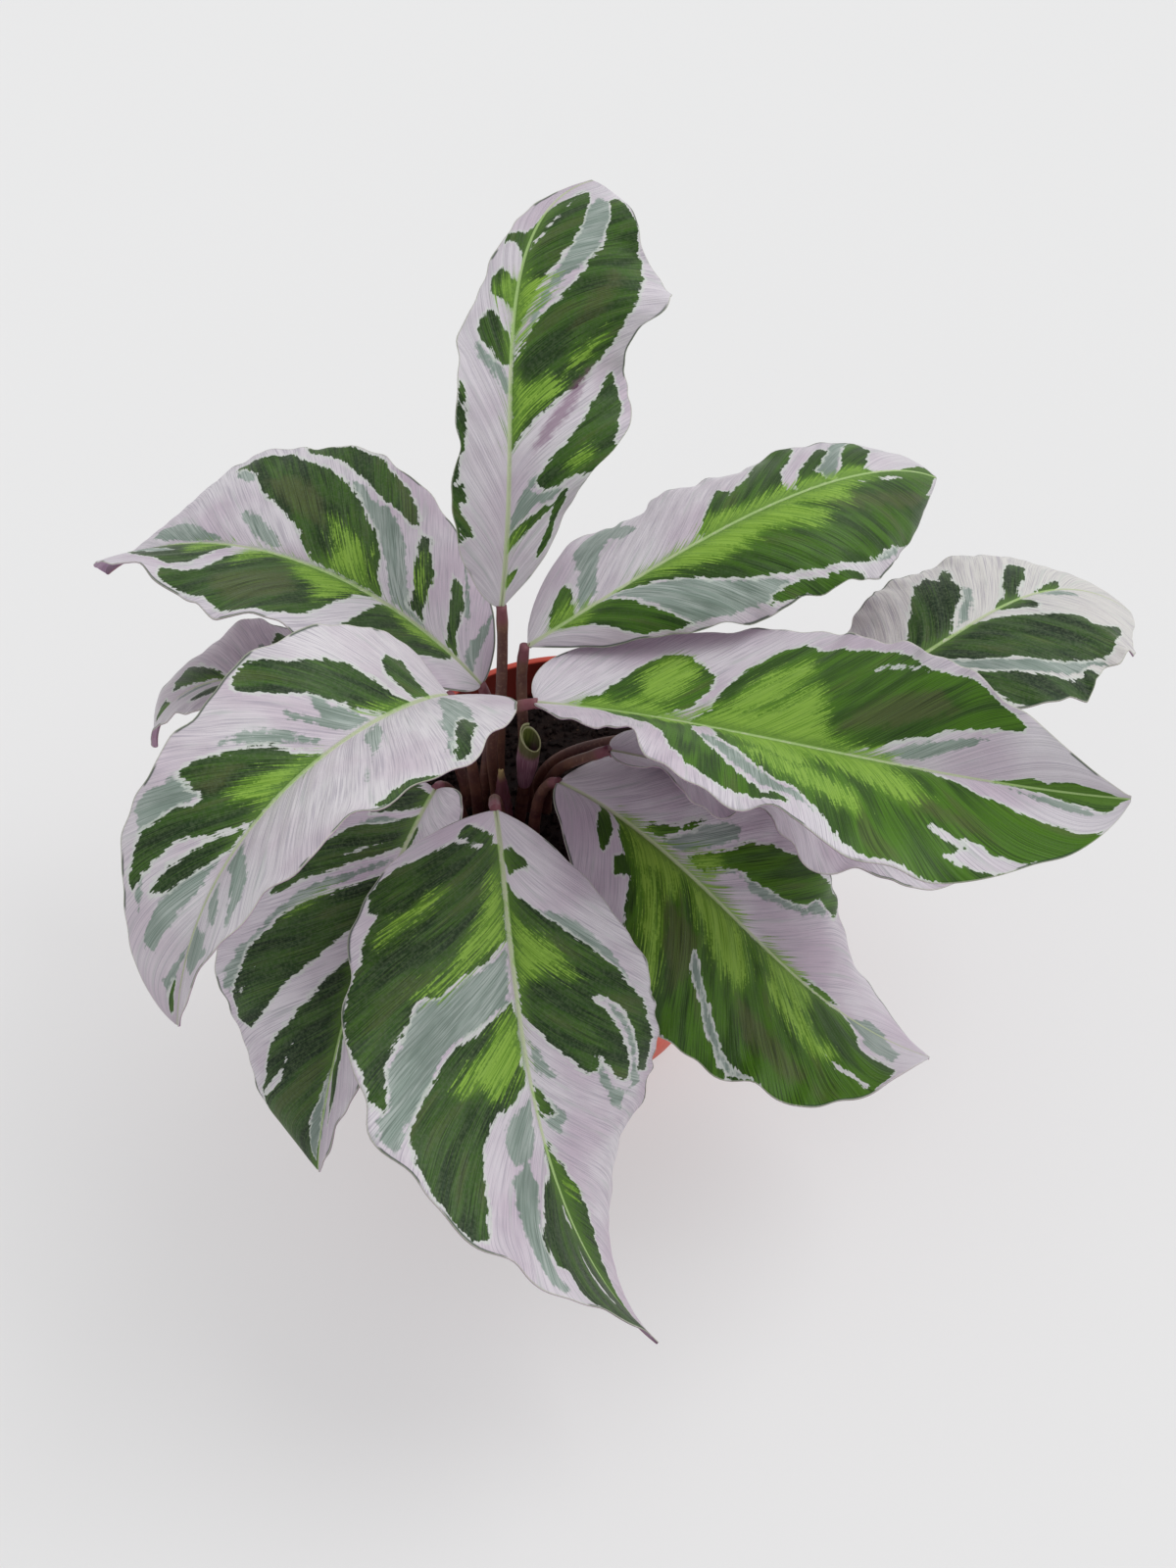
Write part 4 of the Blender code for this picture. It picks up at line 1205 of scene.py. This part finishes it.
def mint_part(look, noise):
    return look.layers(
        look.mix(look.steps(noise.coarse, 0.35, 0.65), MINT, MINT_PALE),
        (look.steps(noise.cloud, 0.45, 0.7, 0.0, 0.6), MINT_DEEP),
        (look.steps(noise.fine, 0.48, 0.7, 0.0, 0.6), MINT_DEEP),
        (look.steps(noise.hair, 0.44, 0.66, 0.0, 0.65), MINT_DEEP),
    )


def dark_part(look, noise):
    """Greens of the dark marks, more yellow and less grey on a vivid blade."""
    vivid = look.value("vivid")
    olive_field = look.shifted(look.value("olive"), (noise.coarse, 6.0), (noise.grain, 5.0))
    olive = look.times(look.steps(olive_field, -2.5, 2.5), 0.7)
    olive = look.maths("MAXIMUM", olive, look.steps(noise.broad, 0.56, 0.7, 0.0, 0.5))
    grey = look.times(look.times_add(vivid, -0.45, 0.55), look.steps(noise.speckle, 0.34, 0.72, 0.0, 0.9))
    return look.layers(
        look.mix(look.steps(noise.broad, 0.4, 0.58), GREEN_DEEP, GREEN_MIDDLE),
        (look.steps(noise.fine, 0.45, 0.7, 0.0, 0.5), GREEN_BLUE),
        (look.times(vivid, look.steps(noise.broad, 0.38, 0.56, 0.4, 0.95)), GREEN_VIVID),
        (olive, OLIVE),
        (grey, GREEN_GREY),
        (look.steps(noise.hair, 0.3, 0.46, 0.3, 0.0), GREEN_LIGHT),
        (look.steps(noise.hair, 0.48, 0.7, 0.0, 0.6), GREEN_SHADE),
    )


def upper_face(look, noise, dark_field, dark, rib):
    """Colour of a blade's upper face, from its pale ground up to its rib and margin."""
    mint_field = look.shifted(look.value("mint"), (noise.coarse, 3.0), (noise.fine, 2.0), (noise.grain, 4.0))
    lime_reach = look.times_add(look.value("vivid"), LIME_SPREAD, look.value("lime"))
    lime_field = look.shifted(lime_reach, (noise.fine, 12.0), (noise.hair, 10.0), (noise.coarse, 6.0))
    fleck_field = look.shifted(lime_reach, (noise.fine, 22.0), (noise.hair, 9.0), (noise.speckle, 8.0))
    blush_field = look.shifted(look.value("blush"), (noise.fine, 6.0), (noise.grain, 4.0))
    glow_field = look.shifted(look.value("out"), (noise.fine, 7.0), (noise.speckle, 5.0))
    lime = look.mix(look.steps(noise.hair, 0.45, 0.7), LIME, LIME_DEEP)
    edge = look.value("edge")
    green_line = look.times(look.steps(edge, 0.5, 1.1, 0.85, 0.0), look.steps(noise.patch, 0.51, 0.56))
    return look.layers(
        look.mix(look.steps(mint_field, -0.5, 0.5), pale_part(look, noise), mint_part(look, noise)),
        (look.steps(dark_field, -1.7, -0.95, 0.0, 0.7), MARK_RIM),
        (dark, dark_part(look, noise)),
        (look.steps(lime_field, -1.2, 3.2, 0.0, 0.8), LIME_DEEP),
        (look.steps(fleck_field, 1.9, 2.8, 0.0, 0.75), lime),
        (look.steps(blush_field, -1.5, 1.5, 0.0, 0.6), PURPLE_BLUSH),
        (look.times(look.steps(glow_field, 0.5, 4.5, 0.6, 0.0), dark), GREEN_LIGHT),
        (look.times(rib, 0.85), look.mix(dark, RIB_PALE, RIB_GREEN)),
        (green_line, GREEN_BLUE),
        (look.steps(edge, 0.05, 0.5, 0.7, 0.0), MARGIN_PALE),
    )


def under_face(look, noise, dark, rib):
    return look.layers(
        look.mix(look.steps(noise.coarse, 0.35, 0.65), UNDER_PURPLE, UNDER_PINK),
        (look.times(dark, 0.75), UNDER_DARK),
        (look.times(rib, 0.7), UNDER_RIB),
    )


def blade_material():
    look = Shading("blade")
    noise = blade_noises(look)
    dark_field = look.shifted(look.value("dark"), (noise.fine, 2.4), (noise.coarse, 3.0), (noise.grain, 2.8))
    dark = look.steps(dark_field, -0.65, -0.25)
    rib_width = look.times_add(look.value("along"), -0.8, 1.15)
    rib = look.steps(look.maths("DIVIDE", look.value("out"), rib_width), 0.45, 1.0, 1.0, 0.0)
    upper = upper_face(look, noise, dark_field, dark, rib)
    colour = look.mix(look.value("under"), upper, under_face(look, noise, dark, rib))
    lines = look.maths("SINE", look.times(look.value("vein"), math.tau / FINE_VEIN_SPACING))
    texture = look.times_add(noise.hair, 1.0, look.times(noise.speckle, 0.6))
    look.bump(look.times_add(lines, 0.12, texture), 0.6, 0.2 * MM)
    look.put(look.shader.inputs["Sheen Weight"], 0.03)
    roughness = look.times_add(noise.cloud, 0.16, look.steps(dark, 0.0, 1.0, 0.42, 0.34))
    return look.finish(colour, roughness, 0.2)


def stalk_material():
    look = Shading("stalk")
    share = look.value("along")
    blotches = look.noise(look.vector(look.times(share, 9.0), look.value("seed"), 0.5), 1.0, 3.0)
    grain = look.noise(look.place(), 900.0, 3.0, 0.6)
    colour = look.layers(
        look.mix(look.steps(blotches, 0.3, 0.7), STALK_MAROON, STALK_BROWN),
        (look.steps(grain, 0.5, 0.75, 0.0, 0.5), STALK_PALE),
        (look.steps(share, 0.9, 0.97, 0.0, 0.6), STALK_MAGENTA),
    )
    look.bump(grain, 0.4, 0.12 * MM)
    return look.finish(colour, look.steps(grain, 0.3, 0.7, 0.42, 0.56), 0.4)


def roll_material():
    """The rolled leaf: olive within, and outside purple below and olive towards its mouth."""
    look = Shading("new_leaf")
    share, turn = look.value("along"), look.value("turn")
    lines = look.noise(look.vector(look.times(turn, 60.0), look.times(share, 3.0), 1.0), 1.0, 2.0)
    outside = look.mix(look.steps(lines, 0.4, 0.65), ROLL_PURPLE, ROLL_PINK)
    outside = look.mix(look.steps(share, 0.6, 0.8, 0.0, 0.8), outside, ROLL_OLIVE)
    colour = look.layers(
        look.mix(look.steps(lines, 0.35, 0.65), ROLL_OLIVE, ROLL_LIGHT),
        (look.steps(turn, 0.85, 1.0, 1.0, 0.0), outside),
        (look.steps(share, 0.955, 0.99), ROLL_RIM),
    )
    look.bump(lines, 0.5, 0.15 * MM)
    return look.finish(colour, look.steps(lines, 0.3, 0.7, 0.4, 0.52), 0.4)


def sheath_material():
    look = Shading("sheath")
    place = look.vector(look.times(look.value("out"), 2.2), look.times(look.value("vein"), 0.05), 4.0)
    lines = look.noise(place, 1.0, 3.0)
    colour = look.layers(
        look.mix(look.steps(lines, 0.35, 0.65), SHEATH_BROWN, SHEATH_PURPLE),
        (look.steps(look.value("along"), 0.8, 1.0, 0.0, 0.85), SHEATH_STRAW),
    )
    look.bump(lines, 0.7, 0.25 * MM)
    return look.finish(colour, look.steps(lines, 0.3, 0.7, 0.55, 0.75), 0.3)


def pot_material():
    look = Shading("pot")
    place = look.place()
    cloud = look.noise(place, 22.0, 4.0)
    grain = look.noise(place, 1100.0, 2.0)
    dust = look.noise(place, 160.0, 5.0, 0.65)
    height = look.add("SeparateXYZ", {0: place}).outputs[2]
    rings = look.noise(look.vector(0.0, 0.0, height), 900.0, 2.0)
    colour = look.layers(
        look.mix(look.steps(cloud, 0.3, 0.7), POT_RED, POT_ORANGE),
        (look.steps(dust, 0.6, 0.78, 0.0, 0.3), POT_DUST),
        (look.times(look.steps(height, 0.0, 14 * MM, 0.25, 0.0), dust), POT_DUST),
        # Painted shade in the pot's hollow, with soil stain, darkens the inside
        (look.value("inside"), POT_INSIDE_SHADE_AND_SOIL),
    )
    look.bump(look.times_add(rings, 0.6, grain), 0.35, 0.12 * MM)
    return look.finish(colour, look.steps(dust, 0.3, 0.7, 0.34, 0.5), 0.5)


def soil_material():
    look = Shading("soil")
    place = look.place()
    lumps = look.noise(place, 260.0, 6.0, 0.7)
    specks = look.noise(place, 700.0, 3.0)
    colour = look.mix(look.steps(lumps, 0.35, 0.7), SOIL_BLACK, SOIL_BROWN)
    colour = look.mix(look.steps(specks, 0.66, 0.76, 0.0, 0.6), colour, SOIL_FIBRE)
    look.bump(look.times_add(specks, 0.4, lumps), 0.9, 1.2 * MM)
    return look.finish(colour, look.steps(lumps, 0.3, 0.7, 0.85, 0.98), 0.2)


def floor_material():
    """A pale floor lit partly from within, as a light table is."""
    look = Shading("floor")
    colour = look.mix(look.noise(look.place(), 3.0, 2.0), FLOOR_PALE, FLOOR_GREY)
    look.put(look.shader.inputs["Emission Color"], FLOOR_GLOW)
    look.put(look.shader.inputs["Emission Strength"], FLOOR_GLOW_STRENGTH)
    return look.finish(colour, 0.8, 0.1)


# Camera, floor and light
def add_camera():
    data = bpy.data.cameras.new("camera")
    data.lens = CAMERA_LENS
    data.sensor_width = SENSOR
    camera = add_object("camera", data)
    camera.location = CAMERA_PLACE
    camera.rotation_euler = Euler((math.radians(90 - CAMERA_DOWN), 0, 0))
    bpy.context.scene.camera = camera


def add_floor():
    half = FLOOR_HALF
    corners = [(-half, -half, 0), (half, -half, 0), (half, half, 0), (-half, half, 0)]
    floor = mesh_object("floor", corners, [(0, 1, 2, 3)], floor_material())


def light_scene():
    """An even pale sky and one very soft sun from behind on the right."""
    world = bpy.data.worlds.new("world")
    world.use_nodes = True
    background = world.node_tree.nodes["Background"]
    background.inputs["Color"].default_value = SKY_COLOUR
    background.inputs["Strength"].default_value = SKY_STRENGTH
    bpy.context.scene.world = world
    data = bpy.data.lights.new("sun", "SUN")
    data.energy = SUN_STRENGTH
    data.angle = math.radians(SUN_ANGLE)
    sun = add_object("sun", data)
    sun.rotation_euler = SUN_FROM.to_track_quat("Z", "Y").to_euler()
    bpy.context.scene.view_settings.view_transform = "Standard"


def settle(piece, node):
    """Makes a piece ride on the plant and stand for its plain solid, where it has one."""
    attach(piece, "root")
    if node:
        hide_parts(node)


def add_leaves(blade, stalk):
    for number, (name, leaf) in enumerate(LEAVES.items()):
        look = dict(marks=MARKS[name], tones=BLADE_TONES[name])
        settle(add_blade(f"blade_{name}", leaf, number, blade, **look), f"leaf_{name}")
        settle(add_stalk(f"stem_{name}", leaf, number, stalk), f"stalk_{name}")


def build():
    add_camera()
    add_floor()
    light_scene()
    stalk = stalk_material()
    add_leaves(blade_material(), stalk)
    settle(add_new_leaf(roll_material()), "new_leaf")
    settle(add_new_stem(stalk), None)
    sheath = add_blade("sheath_piece", SHEATH, SHEATH_NUMBER, sheath_material(), SHEATH_CUTS)
    settle(sheath, "sheath")
    settle(add_pot(pot_material()), "pot")
    soil = soil_material()
    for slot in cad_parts["soil"].material_slots:
        slot.material = soil
    settle(add_crumbs(soil), None)


build()
